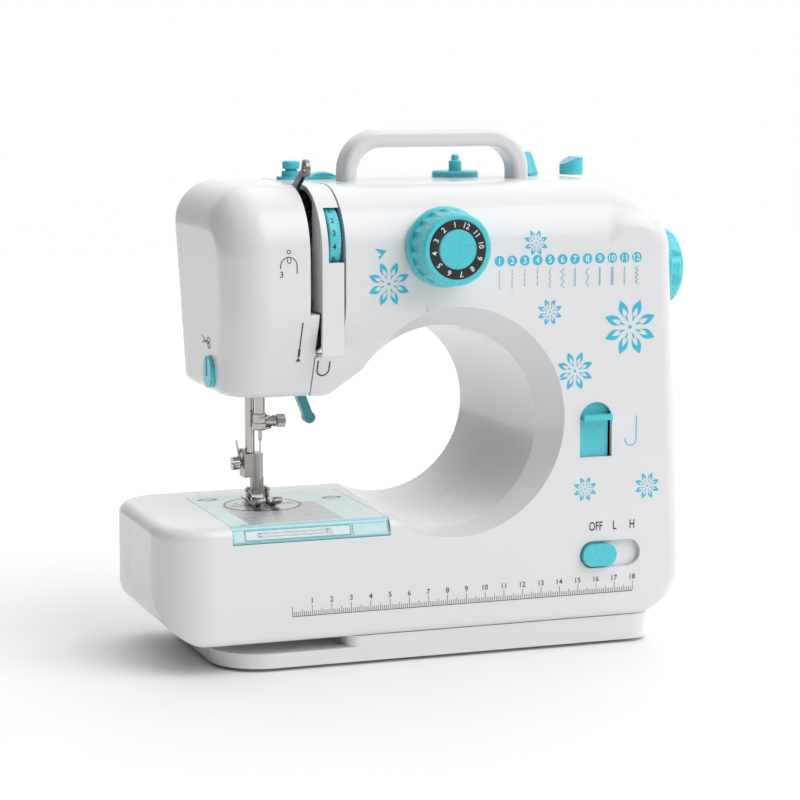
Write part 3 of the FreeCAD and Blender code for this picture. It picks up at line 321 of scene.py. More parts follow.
def flower(centre, span):
    """A printed flower of eight split petals round a small disc."""
    petals = []
    for k in range(8):
        angle = math.radians(22.5 + 45 * k)
        petal = together(*(leaf(*(span * share for share in shares), angle) for shares in PETAL_OUTLINES))
        bmesh.ops.bridge_loops(petal, edges=petal.edges)
        vein = leaf(*(span * share for share in PETAL_VEIN), angle, 12)
        bmesh.ops.contextual_create(vein, geom=vein.edges)
        petals += [petal, vein]
    eye = bmesh.new()
    bmesh.ops.create_circle(eye, cap_ends=True, segments=16, radius=span * FLOWER_EYE)
    whole = together(*petals, eye)
    bmesh.ops.recalc_face_normals(whole, faces=whole.faces)
    return moved(whole, (centre[0], 0, centre[1]), "-y")


def facing(part, way):
    """Turns a flat print from the front (XZ) to the top or to the needle end."""
    axis = {"top": "X", "left": "Z"}[way]
    bmesh.ops.rotate(part, matrix=Matrix.Rotation(-math.pi / 2, 3, axis), verts=part.verts)
    return part


def triangle(points):
    """A flat printed triangle through three (x, z) points."""
    part = bmesh.new()
    part.faces.new([part.verts.new((x, 0, z)) for x, z in points])
    return part


def toothed_ring(radius, inner, depth, teeth, tooth):
    """A ring from z 0 up to its depth, with fine teeth round it."""
    steps = 2 * teeth
    outline = []
    for k in range(steps):
        reach = radius - (tooth if k % 2 else 0)
        around = 2 * math.pi * k / steps
        outline.append((reach * math.cos(around), reach * math.sin(around)))
    part = bmesh.new()
    outside = [part.verts.new((x, y, 0)) for x, y in outline]
    inside = [part.verts.new((x * inner / radius, y * inner / radius, 0)) for x, y in outline]
    edges = []
    for loop in (outside, inside):
        edges += [part.edges.new((loop[i - 1], loop[i])) for i in range(steps)]
    return raised(part, bmesh.ops.bridge_loops(part, edges=edges)["faces"], depth)


def thick(part, height):
    """Gives a flat print a real thickness."""
    bmesh.ops.solidify(part, geom=part.faces, thickness=height)
    return part


def laid_on(part, node, way=(0, 1, 0), gap=None):
    """Moves each point of a flat print along a direction until it lies just off a node."""
    way = Vector(way)
    gap = bpy.context.scene.sewing_sizes.ink / MM if gap is None else gap
    surface = bmesh.new()
    surface.from_mesh(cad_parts[node].data)
    bmesh.ops.scale(surface, vec=(1 / MM, 1 / MM, 1 / MM), verts=surface.verts)
    shell = BVHTree.FromBMesh(surface)
    surface.free()
    for vert in part.verts:
        start = vert.co - way * (vert.co.dot(way) + OUTSIDE)
        hit = shell.ray_cast(start, way)[0]
        if hit is not None:
            vert.co = hit - way * gap
    for face in part.faces:
        if face.normal.dot(way) > 0:
            face.normal_flip()
    return part


# ---------------------------------------------------------------- finishes

def finish(name, tone, roughness, metallic=0.0, grain=900.0, tone_change=0.03, gloss_change=0.04,
           relief=0.02, stretch=(1, 1, 1), **sockets):
    """A finish whose fine grain varies its colour, its gloss and its relief."""
    known = bpy.data.materials.get(f"{name}_finish")
    if known:
        return known
    material = bpy.data.materials.new(f"{name}_finish")
    material.use_nodes = True
    nodes, links = material.node_tree.nodes, material.node_tree.links
    shader = nodes["Principled BSDF"]
    shader.inputs["Metallic"].default_value = metallic
    for socket, value in sockets.items():
        shader.inputs[socket.replace("_", " ")].default_value = value
    place = nodes.new("ShaderNodeTexCoord")
    mapping = nodes.new("ShaderNodeMapping")
    mapping.inputs["Scale"].default_value = stretch
    noise = nodes.new("ShaderNodeTexNoise")
    noise.inputs["Scale"].default_value = grain
    noise.inputs["Detail"].default_value = 3
    links.new(place.outputs["Object"], mapping.inputs["Vector"])
    links.new(mapping.outputs["Vector"], noise.inputs["Vector"])
    shades = nodes.new("ShaderNodeValToRGB")
    shades.name = "Shades"
    for stop, share in zip(shades.color_ramp.elements, (1 - tone_change, 1 + tone_change)):
        stop.color = (*(min(1, c * share) for c in tone), 1)
    shades.color_ramp.elements[0].position = NOISE_LOW
    shades.color_ramp.elements[1].position = NOISE_HIGH
    links.new(noise.outputs["Fac"], shades.inputs["Fac"])
    links.new(shades.outputs["Color"], shader.inputs["Base Color"])
    gloss = nodes.new("ShaderNodeMapRange")
    gloss.inputs["From Min"].default_value = NOISE_LOW
    gloss.inputs["From Max"].default_value = NOISE_HIGH
    gloss.inputs["To Min"].default_value = max(0.02, roughness - gloss_change)
    gloss.inputs["To Max"].default_value = min(1, roughness + gloss_change)
    links.new(noise.outputs["Fac"], gloss.inputs["Value"])
    links.new(gloss.outputs["Result"], shader.inputs["Roughness"])
    bump = nodes.new("ShaderNodeBump")
    bump.inputs["Strength"].default_value = relief
    bump.inputs["Distance"].default_value = BUMP_HEIGHT
    links.new(noise.outputs["Fac"], bump.inputs["Height"])
    links.new(bump.outputs["Normal"], shader.inputs["Normal"])
    return material


def colours():
    """The colour settings."""
    return bpy.context.scene.sewing_colours


def white_moulding():
    """High gloss white plastic with the finest spark-eroded grain."""
    return finish("white_moulding", colours().white, 0.27, grain=900, tone_change=0.002, gloss_change=0.004,
                  relief=0.001, Coat_Weight=0.3, Coat_Roughness=0.08)


def cyan_moulding():
    """Cyan plastic knobs, a little less glossy than the covers."""
    return finish("cyan_moulding", colours().cyan, 0.3, grain=420, tone_change=0.03, gloss_change=0.05,
                  relief=0.008, Coat_Weight=0.25, Coat_Roughness=0.12)


def teal_moulding():
    """Darker satin plastic of the presser lever."""
    return finish("teal_moulding", colours().teal, 0.34, grain=800, tone_change=0.06, relief=0.04,
                  Coat_Weight=0.2)


def black_moulding():
    """Matte black plastic."""
    return finish("black_moulding", (0.012, 0.012, 0.013), 0.42, grain=1500, tone_change=0.2, relief=0.06)


def tinted_clear():
    """Clear cyan plastic of the sliding cover."""
    return finish("tinted_clear", colours().tint, 0.12, grain=500, tone_change=0.02, gloss_change=0.03,
                  relief=0.005, Transmission_Weight=0.2, IOR=1.49, Coat_Weight=0.4)


def bright_edge():
    """Painted highlight: bright cyan strokes on the clear cover's edges, standing for the light that leaves
    it there.
    """
    return finish("bright_edge", (0.20, 0.72, 0.80), 0.15, grain=500, tone_change=0.03, relief=0.005,
                  Transmission_Weight=0.1, IOR=1.49)


def shaded_edge():
    """Painted shade: darker lines along the clear cover's steps and round its lip window."""
    return finish("shaded_edge", (0.13, 0.42, 0.46), 0.2, grain=500, tone_change=0.05, relief=0.005)


def lip_pane():
    """Clear pale window in the cover's front lip."""
    return finish("lip_pane", (0.72, 0.84, 0.86), 0.12, grain=300, tone_change=0.05, relief=0.01,
                  Transmission_Weight=0.15, IOR=1.49, Coat_Weight=0.5)


def clear_pane():
    """Scratched clear window over the bobbin, with fine lines along its length."""
    return finish("clear_pane", (0.56, 0.58, 0.58), 0.34, metallic=0.2, grain=1500, tone_change=0.22,
                  gloss_change=0.12, relief=0.10, stretch=(0.03, 1, 1), IOR=1.49)


def frosted_lens():
    """Frosted lamp lens."""
    return finish("frosted_lens", (0.9, 0.9, 0.86), 0.45, grain=1200, relief=0.2, Transmission_Weight=0.6)


def polished_steel():
    """Bright plated steel with faint smears."""
    return finish("polished_steel", (0.50, 0.47, 0.45), 0.13, metallic=1.0, grain=350, tone_change=0.05,
                  gloss_change=0.05, relief=0.01)


def dark_steel():
    """The darker stamped steel of the take-up lever."""
    return finish("dark_steel", (0.26, 0.25, 0.25), 0.26, metallic=1.0, grain=500, tone_change=0.12,
                  gloss_change=0.08, relief=0.04)


def brushed_steel():
    """Steel brushed along its length."""
    return finish("brushed_steel", (0.56, 0.56, 0.57), 0.3, metallic=1.0, grain=1400, tone_change=0.12,
                  gloss_change=0.1, relief=0.1, stretch=(0.03, 1, 1), Anisotropic=0.4)


def upright_brushed_steel():
    """Steel ground from top to bottom."""
    return finish("upright_brushed_steel", (0.40, 0.38, 0.36), 0.3, metallic=1.0, grain=1600,
                  tone_change=0.15, gloss_change=0.1, relief=0.12, stretch=(1, 1, 0.03), Anisotropic=0.3)


def cast_zinc():
    """Satin die-cast metal."""
    return finish("cast_zinc", (0.5, 0.51, 0.53), 0.46, metallic=0.9, grain=1100, tone_change=0.1,
                  relief=0.25)


def sintered_bronze():
    """Oil-filled bronze of the bushes."""
    return finish("sintered_bronze", (0.5, 0.3, 0.11), 0.42, metallic=1.0, grain=2200, tone_change=0.2,
                  relief=0.3)


def belt_rubber():
    """Black belt rubber."""
    return finish("belt_rubber", (0.015, 0.015, 0.015), 0.75, grain=1600, tone_change=0.25, relief=0.3)


def foot_rubber():
    """Grey soft rubber of the feet."""
    return finish("foot_rubber", (0.32, 0.32, 0.33), 0.7, grain=1300, tone_change=0.08, relief=0.25)


def grey_nylon():
    """Grey nylon of pulleys and switch parts."""
    return finish("grey_nylon", (0.26, 0.27, 0.28), 0.48, grain=1000, tone_change=0.08, relief=0.1)


def battery_wrap():
    """Printed sleeve of a dry cell."""
    return finish("battery_wrap", (0.03, 0.10, 0.30), 0.28, grain=300, tone_change=0.15, relief=0.02,
                  Coat_Weight=0.5)


def blue_ink():
    """Cyan screen print."""
    return finish("blue_ink", colours().blue_ink, 0.34, grain=2400, tone_change=0.05, relief=0.05)


def grey_ink():
    """Dark grey screen print."""
    return finish("grey_ink", colours().grey_ink, 0.4, grain=2400, tone_change=0.15, relief=0.05)


def pale_ink():
    """White screen print."""
    return finish("pale_ink", (0.86, 0.88, 0.88), 0.4, grain=2400, tone_change=0.03, relief=0.05)


def faint_ink():
    """Half-strength print of the stitch samples."""
    return finish("faint_ink", (0.10, 0.45, 0.58), 0.4, grain=2400, tone_change=0.15, relief=0.05)


NODE_FINISHES = {
    white_moulding: ("front_cover", "rear_cover", "head_cap", "thread_guide_strip", "base_plate",
                     "battery_door", "carry_handle"),
    cyan_moulding: ("stitch_dial", "dial_cap", "handwheel", "tension_wheel", "reverse_lever", "switch_knob",
                    "spool_disc", "spool_pin", "winder_spindle", "winder_stop", "pretension_guide",
                    "thread_cutter"),
    teal_moulding: ("presser_lever",),
    black_moulding: ("dial_number_ring", "bobbin_case", "sockets"),
    tinted_clear: ("bobbin_cover", "plate_surround"),
    clear_pane: ("bobbin_window", "bobbin"),
    frosted_lens: ("lamp_lens",),
    polished_steel: ("needle_bar", "needle_clamp", "needle_clamp_screw", "needle", "presser_bar",
                     "foot_screw", "presser_foot", "tension_discs", "rotary_hook", "cover_screws"),
    dark_steel: ("take_up_lever",),
    upright_brushed_steel: ("foot_holder",),
    brushed_steel: ("main_shaft", "lower_shaft", "presser_spring", "pivot_pins", "motor", "needle_plate",
                    "feed_dog"),
    cast_zinc: ("crank_disc", "connecting_rod", "bar_guides", "inner_frame"),
    sintered_bronze: ("shaft_bushes",),
    belt_rubber: ("drive_belts",),
    foot_rubber: ("rubber_feet",),
    grey_nylon: ("dial_shaft", "upper_pulley", "lower_shaft_wheels", "motor_pulley", "switch_unit"),
    battery_wrap: ("batteries",),
}


# ---------------------------------------------------------------- operators

class SEWING_OT_finishes(Operator):
    """Give every CAD node its finish"""

    bl_idname = "sewing.finishes"
    bl_label = "Node finishes"

    def execute(self, context):
        for make, nodes in NODE_FINISHES.items():
            for node in nodes:
                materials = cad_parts[node].data.materials
                materials.clear()
                materials.append(make())
        return {"FINISHED"}


class SEWING_OT_flowers(Operator):
    """Print the flowers on the front"""

    bl_idname = "sewing.flowers"
    bl_label = "Flowers"
    # each flower's x, z and span, in millimetres
    places = ((-27, 186.7, 22), (49.6, 204.6, 13), (57.1, 170.2, 13.5), (100.5, 161.2, 29),
              (70.8, 140.4, 20), (76.9, 80.6, 13), (111, 80.4, 14))

    def execute(self, context):
        for k, (x, z, span) in enumerate(self.places):
            part = laid_on(flower((x, z), span), "front_cover")
            piece(f"flower_{k + 1}", part, blue_ink(), "machine")
        return {"FINISHED"}


class SEWING_OT_stitch_chart(Operator):
    """Print the numbered discs and the stitch samples"""

    bl_idname = "sewing.stitch_chart"
    bl_label = "Stitch chart"
    first, height, sample_top, sample_low = 30.2, 196.1, 191.6, 182.6
    dash_width, zigzag_width, dash_share, figure = 0.42, 0.36, 0.7, 3.1
    # each sample's swing and stitch length, in millimetres
    samples = ((0, 1.2), (0, 1.6), (0, 2.2), (0, 3.0), (0.5, 1.6), (0.9, 1.6), (0.5, 0.7), (0.7, 2.4),
               (0.45, 0.5), (0.9, 0.6), (0.4, 0.9), (0.9, 1.1))

    def sample(self, x, swing, pitch):
        """One stitch sample: dashes if it has no swing, a zigzag otherwise."""
        count = round((self.sample_top - self.sample_low) / pitch)
        levels = [self.sample_top - pitch * k for k in range(count + 1)]
        if not swing:
            return together(*(stroke((x, a), (x, a - pitch * self.dash_share), self.dash_width)
                              for a in levels[:-1]))
        return strokes([(x + swing * (-1) ** k, level) for k, level in enumerate(levels)],
                       self.zigzag_width)

    def execute(self, context):
        sizes = context.scene.sewing_sizes
        discs, figures, samples = [], [], []
        for k, (swing, pitch) in enumerate(self.samples):
            x = self.first + sizes.chart_pitch / MM * k
            discs.append(disc(sizes.chart_disc / MM / 2, (x, self.height)))
            figures.append(letters(str(k + 1), self.figure, (x, self.height), weight=0.01))
            samples.append(self.sample(x, swing, pitch))
        face = "front_cover"
        piece("chart_discs", laid_on(together(*discs), face), blue_ink(), "machine")
        figures = laid_on(together(*figures), face, gap=2 * sizes.ink / MM)
        piece("chart_figures", figures, pale_ink(), "machine")
        piece("chart_samples", laid_on(together(*samples), face), faint_ink(), "machine")
        return {"FINISHED"}


class SEWING_OT_scale(Operator):
    """Print the centimetre scale along the base"""

    bl_idname = "sewing.scale"
    bl_label = "Scale"
    start, baseline, length = -76.5, 27, 180
    ten_mark, five_mark, one_mark, figure_height = 5.2, 3.4, 2.4, 7.4
    line_width, mark_width = 0.3, 0.26

    def execute(self, context):
        figure = context.scene.sewing_sizes.figure / MM
        start, foot = self.start, self.baseline
        marks = [stroke((start, foot), (start + self.length, foot), self.line_width)]
        for k in range(self.length + 1):
            tall = self.ten_mark if k % 10 == 0 else self.five_mark if k % 5 == 0 else self.one_mark
            marks.append(stroke((start + k, foot), (start + k, foot + tall), self.mark_width))
        for k in range(1, self.length // 10 + 1):
            marks.append(letters(str(k), figure, (start + 10 * k, foot + self.figure_height), weight=0.012))
        marks = laid_on(together(*marks), "front_cover")
        piece("scale_print", marks, grey_ink(), "machine")
        return {"FINISHED"}


class SEWING_OT_icons(Operator):
    """Print the threading marks, the speed letters and the pointers"""

    bl_idname = "sewing.icons"
    bl_label = "Printed marks"
    # widths of the printed lines, then places of the marks as (x, z), in millimetres
    thin, line, wide, heavy = 0.42, 0.5, 0.7, 0.75
    eye, arch, three = (-77.2, 203.4), (-77.3, 196.8), (-80.9, 192.8)
    eye_radius, arch_radius, tip_radius, turn_radius = 0.85, 4.1, 1.5, 3
    eye_hook = [(-77.9, 200.4), (-77.9, 198.6), (-76.9, 197.8), (-76.2, 198.8), (-76.4, 200.4)]
    needle_x, needle_top, needle_neck, needle_low, needle_tip = -69.9, 169.5, 156, 152, 150.4
    cutter = (-110, 4, 157)
    pointer = [(-33.9, 204.1), (-28.1, 202.8), (-31.8, 198.5)]
    words, words_height, letter = (("OFF", 83), ("L", 93.4), ("H", 102.9)), 61.4, 4.6

    def threading(self):
        """The take-up lever's eye, hook, arch and number, and the needle below them."""
        x, top, neck, foot = self.needle_x, self.needle_top, self.needle_neck, self.needle_low
        return together(strokes(arc(self.eye, self.eye_radius, 0, 360, 12), self.thin),
                        strokes([(-81.4, 195.5)] + arc(self.arch, self.arch_radius, 180, 0) + [(-73.2, 193)],
                                self.line),
                        strokes(self.eye_hook, 0.4),
                        letters("3", 3.0, self.three, weight=0.01),
                        together(stroke((x, top), (x, neck), self.wide), stroke((x, neck), (x, foot), 1.2),
                                 disc(self.tip_radius, (x, self.needle_tip), 3)))

    def scissors(self):
        """A pair of scissors, lying down."""
        blades = [stroke((-3.6, 2.2 - 3.4 * k), (1.6, -1.2 + 1.6 * k), 0.8) for k in range(2)]
        bows = [strokes(arc((2.8, -1.9 + 2.9 * k), 1.2, 0, 360, 14), self.wide) for k in range(2)]
        part = together(*blades, *bows)
        bmesh.ops.scale(part, vec=(1.9, 1, 1), verts=part.verts)
        return moved(facing(part, "left"), self.cutter)

    def execute(self, context):
        scissors = laid_on(self.scissors(), "head_cap", (1, 0, 0))
        piece("cutter_mark", scissors, grey_ink(), "machine")
        piece("head_marks", laid_on(self.threading(), "head_cap"), grey_ink(), "machine")
        turn = [(-59.6, 149.8), (-59.6, 145)] + arc((-56.6, 145), self.turn_radius, 180, 360)
        turn.append((-53.6, 149.2))
        hook = [(104.6, 116.5), (104.6, 104.5)] + arc((101.6, 104.5), self.turn_radius, 0, -200)
        words = [letters(text, self.letter, (x, self.words_height), weight=0.014, narrow=0.68)
                 for text, x in self.words]
        grey = laid_on(together(strokes(turn, self.heavy), *words), "front_cover")
        piece("front_marks", grey, grey_ink(), "machine")
        blue = laid_on(together(strokes(hook, 0.55), triangle(self.pointer)), "front_cover")
        piece("front_blue_marks", blue, blue_ink(), "machine")
        return {"FINISHED"}


class SEWING_OT_dial_figures(Operator):
    """Print the figures on the stitch dial's ring"""

    bl_idname = "sewing.dial_figures"
    bl_label = "Dial figures"
    # where the figure 1 stands, in degrees, and the figures' height in millimetres
    first_turn, figure = 8, 2.7

    def execute(self, context):
        centre, ring, cap = middle("dial_number_ring"), high("dial_number_ring"), high("dial_cap")
        radius = (ring.x + cap.x) / 2 - centre.x
        figures = []
        for k in range(12):
            around = math.radians(self.first_turn + 30 * k)
            spot = (centre.x - radius * math.sin(around), centre.z + radius * math.cos(around))
            figures.append(letters(str(k + 1), self.figure, spot, around, 0.008))
        figures = laid_on(together(*figures), "dial_number_ring")
        piece("dial_figures", figures, pale_ink(), "stitch_dial")
        return {"FINISHED"}


class SEWING_OT_cover_details(Operator):
    """Give the bobbin cover its painted highlight rim, its lip window with painted shade lines, and its
    steel latch
    """

    bl_idname = "sewing.cover_details"
    bl_label = "Bobbin cover details"
    # the lip window's left, right, lower and upper edge, the step above it, then the latch's two wires
    window = (-99.5, -46.5, 65.6, 70.1)
    step, inset = 71, 0.5
    latch_left, latch_right, latch_wires = -92.6, -57.5, (67.2, 68.6)
    side_width, step_width, foot_width, line_width, wire_width = 0.9, 1.5, 0.7, 0.55, 0.5
    rim_height, pane_height, line_height, latch_height = 0.08, 0.05, 0.12, 0.2

    def execute(self, context):
        cover = "bobbin_cover"
        left, right, foot = low(cover).x, high(cover).x, low(cover).z
        start, end, bottom, top = self.window
        # painted highlight: bright strokes down the cover's left side, along its step and along its foot
        rim = together(stroke((left + self.inset, foot + 0.3), (left + self.inset, self.step + 1),
                              self.side_width),
                       stroke((left, self.step), (right, self.step), self.step_width),
                       stroke((left, foot + 0.4), (right, foot + 0.4), self.foot_width))
        piece("painted_rim_highlight", thick(laid_on(rim, cover), -self.rim_height), bright_edge(), cover)
        pane = stroke((start, (bottom + top) / 2), (end, (bottom + top) / 2), top - bottom)
        bmesh.ops.subdivide_edges(pane, edges=pane.edges, cuts=2, use_grid_fill=True)
        piece("lip_window", thick(laid_on(pane, cover), -self.pane_height), lip_pane(), cover)
        corners = [(start, top), (end, top), (end, bottom), (start, bottom), (start, top)]
        side = right - self.inset
        # painted shade: dark lines round the lip window, down the cover's right side and beside the window's
        # right end
        line = together(strokes(corners, self.line_width),
                        stroke((side, foot + 0.3), (side, self.step), self.side_width),
                        stroke((end + 1.2, bottom), (end + 1.2, top), self.wire_width))
        line = thick(laid_on(line, cover, gap=0.1), -self.line_height)
        piece("lip_painted_shade", line, shaded_edge(), cover)
        wires = [stroke((self.latch_left, z), (self.latch_right, z), self.wire_width)
                 for z in self.latch_wires]
        level = sum(self.latch_wires) / 2
        ends = [stroke((self.latch_left - 0.8, level), (self.latch_left + 1, level), 2),
                stroke((self.latch_right - 1.1, level), (self.latch_right + 1.9, level), 2.4)]
        latch = thick(laid_on(together(*wires, *ends), cover, gap=0.1), -self.latch_height)
        piece("cover_latch", latch, dark_steel(), cover)
        return {"FINISHED"}


class SEWING_OT_plate_marks(Operator):
    """Print the guide lines round the foot and the arrows on the plates"""

    bl_idname = "sewing.plate_marks"
    bl_label = "Plate marks"
    guide_start, guide_pitch, guide_length, guide_width = 9, 2.1, 6, 0.5
    figure, circle_width, arrow, arrow_width, oval = 2.4, 0.6, 4.4, 0.9, 0.55
    # each pair of arrows' x, y and the way it turns
    arrows = ((-96.7, 34, 1), (-35.1, 20, -1))

    def guides(self, spot):
        """The short seam guides either side of the needle, with a figure over each set."""
        half = self.guide_length / 2
        parts = []
        for side in (-1, 1):
            for k in range(4):
                x = spot.x + side * (self.guide_start + self.guide_pitch * k)
                parts.append(stroke((x, spot.y - half), (x, spot.y + half), self.guide_width))
        for side, k in ((-1, 3), (1, 5)):
            parts.append(letters(str(k), self.figure, (spot.x + side * 12, spot.y + 6), weight=0.01))
        return parts

    def turning_arrows(self, x, y, turn):
        """Two curved arrows that chase each other round a flat oval."""
        reach = self.arrow
        arcs = [strokes(arc((x, y), reach, start, start + 140, 12, self.oval), self.arrow_width)
                for start in (200, 20)]
        tips = [triangle([(x + side * turn * (reach + 1.2), y - side), (x + side * turn * 3, y - side),
                          (x + side * turn * reach, y + side * 1.4)]) for side in (1, -1)]
        return arcs + tips

    def execute(self, context):
        spot, down = middle("needle_plate"), (0, 0, -1)
        radius = (high("needle_plate").x - low("needle_plate").x) / 2
        circle = strokes(arc((spot.x, spot.y), radius - self.circle_width, 0, 360, 60), self.circle_width)
        marks = laid_on(facing(together(circle, *self.guides(spot)), "top"), "needle_plate", down)
        piece("plate_marks", marks, grey_ink(), "machine")
        arrows = together(*(part for place in self.arrows for part in self.turning_arrows(*place)))
        arrows = laid_on(facing(arrows, "top"), "plate_surround", down)
        piece("surround_marks", arrows, grey_ink(), "machine")
        return {"FINISHED"}


class SEWING_OT_tension_details(Operator):
    """Give the tension wheel its figures and fine teeth"""

    bl_idname = "sewing.tension_details"
    bl_label = "Tension wheel details"
    # the figures' height in millimetres, then the turn between them and the first one's turn, in degrees
    figure, pitch, first_turn = 2.9, 22, 60
    teeth, tooth, rim = 70, 0.35, 1.5

    def execute(self, context):
        spot, side = middle("tension_wheel"), high("tension_wheel").x
        radius = (high("tension_wheel").z - low("tension_wheel").z) / 2
        figures = []
        for k in range(9):
            figure = letters(str(k + 1), self.figure, (spot.x - 0.6, spot.z), weight=0.02)
            figure = laid_on(figure, "tension_wheel")
            around = math.radians(self.pitch * k - self.first_turn)
            bmesh.ops.rotate(figure, cent=spot, matrix=Matrix.Rotation(around, 3, "X"), verts=figure.verts)
            figures.append(figure)
        piece("tension_figures", together(*figures), grey_ink(), "tension_wheel")
        teeth = toothed_ring(radius + 0.2, radius - 1, self.rim, self.teeth, self.tooth)
        teeth = moved(teeth, (side - self.rim - 0.1, spot.y, spot.z), "x")
        piece("tension_teeth", teeth, cyan_moulding(), "tension_wheel", 20)
        return {"FINISHED"}


class SEWING_OT_switch_slide(Operator):
    """Put the sliding plate behind the speed switch's knob"""

    bl_idname = "sewing.switch_slide"
    bl_label = "Switch slide"
    to_left, to_right, half_height, front, back = 20, 25, 7.4, -42.3, -41.9

    def execute(self, context):
        knob = middle("switch_knob")
        slide = block((knob.x - self.to_left, self.front, knob.z - self.half_height),
                      (knob.x + self.to_right, self.back, knob.z + self.half_height), 0.1)
        piece("switch_slide", slide, white_moulding(), "switch_knob")
        return {"FINISHED"}


class SEWING_OT_needle_details(Operator):
    """Make the clamp's collars, its knurled knob and the foot release"""

    bl_idname = "sewing.needle_details"
    bl_label = "Needle clamp and release"
    # outlines of (radius, height), the knurled head's sizes, then the release's wire and tab
    collar = [(3.3, 0), (4.2, 0), (4.5, 0.25), (4.5, 0.75), (4.2, 1), (3.3, 1), (3.3, 0)]
    nut = [(1, 0), (2.6, 0), (2.9, 0.4), (2.9, 1.4), (2.6, 1.8), (1, 1.8), (1, 0)]
    knob_radius, knob_length, knob_teeth, tooth, knob_bore = 3.3, 4.2, 22, 0.35, 1.0
    release = [(-84.2, 24, 103.6), (-83.6, 24, 100), (-82.6, 24, 95), (-82.2, 24, 89)]
    release_tab = ((-82.5, 22.4, 93.4), (-79.4, 25.6, 99.4))

    def knob(self):
        """The clamp's knurled knob, its screw and the nut against the clamp."""
        axis = middle("needle_clamp_screw")
        start, end = low("needle_clamp_screw").x, high("needle_clamp_screw").x
        head = toothed_ring(self.knob_radius, self.knob_bore, self.knob_length, self.knob_teeth, self.tooth)
        reach = end - start
        screw = [(0, 0), (1.1, 0), (1.1, reach - 0.3), (2.4, reach), (0, reach)]
        return together(moved(head, (end - self.knob_length, axis.y, axis.z), "x"),
                        turned(screw, (start, axis.y, axis.z), "x"),
                        turned(self.nut, (middle("needle_clamp").x + 4.6, axis.y, axis.z), "x"))

    def execute(self, context):
        bar, foot, head = middle("needle_bar"), low("needle_clamp").z, high("needle_clamp").z
        rings = [turned(self.collar, (bar.x, bar.y, z)) for z in (foot + 0.6, head - 2.4)]
        piece("clamp_collars", together(*rings), polished_steel(), "needle_bar")
        screw = piece("clamp_knob", self.knob(), polished_steel(), "needle_clamp_screw", 30)
        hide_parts("needle_clamp_screw")
        release = together(wire(self.release, 0.55), block(*self.release_tab, 0.5))
        piece("foot_release", release, polished_steel(), "presser_bar")
        return {"FINISHED"}


class SEWING_OT_presser_foot(Operator):
    """Make the zigzag foot with its two curled toes"""

    bl_idname = "sewing.presser_foot"
    bl_label = "Presser foot"
    half_width, half_gap, sole_back, heel = 6.6, 1.9, 16.5, (16, 27)
    axle_y, axle_radius, cheek, cheek_y = 20.4, 0.95, 1.7, (17.2, 23.4)

    def sole(self, left, right, front, back, foot):
        """One bent strip of the sole, from its curled front tip to its back end."""
        under = [(front, foot + 4.4), (front + 0.9, foot + 2.4), (front + 2.4, foot + 0.8),
                 (front + 4.6, foot), (back - 2.5, foot), (back, foot + 0.9)]
        over = [(y + 0.35, z + 1.3) for y, z in reversed(under)]
        over[-1] = (front + 1.2, foot + 4.9)
        part = plate([(z, y) for y, z in under + over], right - left)
        # the outline's (height, depth, thickness) become the foot's (z, y, x)
        place = Matrix(((0, 0, 1, left), (0, 1, 0, 0), (1, 0, 0, 0), (0, 0, 0, 1)))
        bmesh.ops.transform(part, matrix=place, verts=part.verts)
        bmesh.ops.recalc_face_normals(part, faces=part.faces)
        return soften(part, 0.25, 40)

    def execute(self, context):
        lowest, highest = low("presser_foot"), high("presser_foot")
        x, foot, axle_z = (lowest.x + highest.x) / 2, lowest.z, highest.z - 1.25
        wide, gap = self.half_width, self.half_gap
        parts = [self.sole(start, end, lowest.y, self.sole_back, foot)
                 for start, end in ((x - wide, x - gap), (x + gap, x + wide))]
        parts.append(block((x - wide, self.heel[0], foot), (x + wide, self.heel[1], foot + 1.4), 0.3))
        for start in (x - 5.4, x + 3.7):
            parts.append(block((start, self.cheek_y[0], foot + 0.8),
                               (start + self.cheek, self.cheek_y[1], axle_z + 1.6), 0.5))
        parts.append(rod((x - 6.4, self.axle_y, axle_z), (x + 6.4, self.axle_y, axle_z), self.axle_radius))
        zigzag = piece("zigzag_foot", together(*parts), polished_steel(), "presser_foot")
        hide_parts("presser_foot")
        return {"FINISHED"}


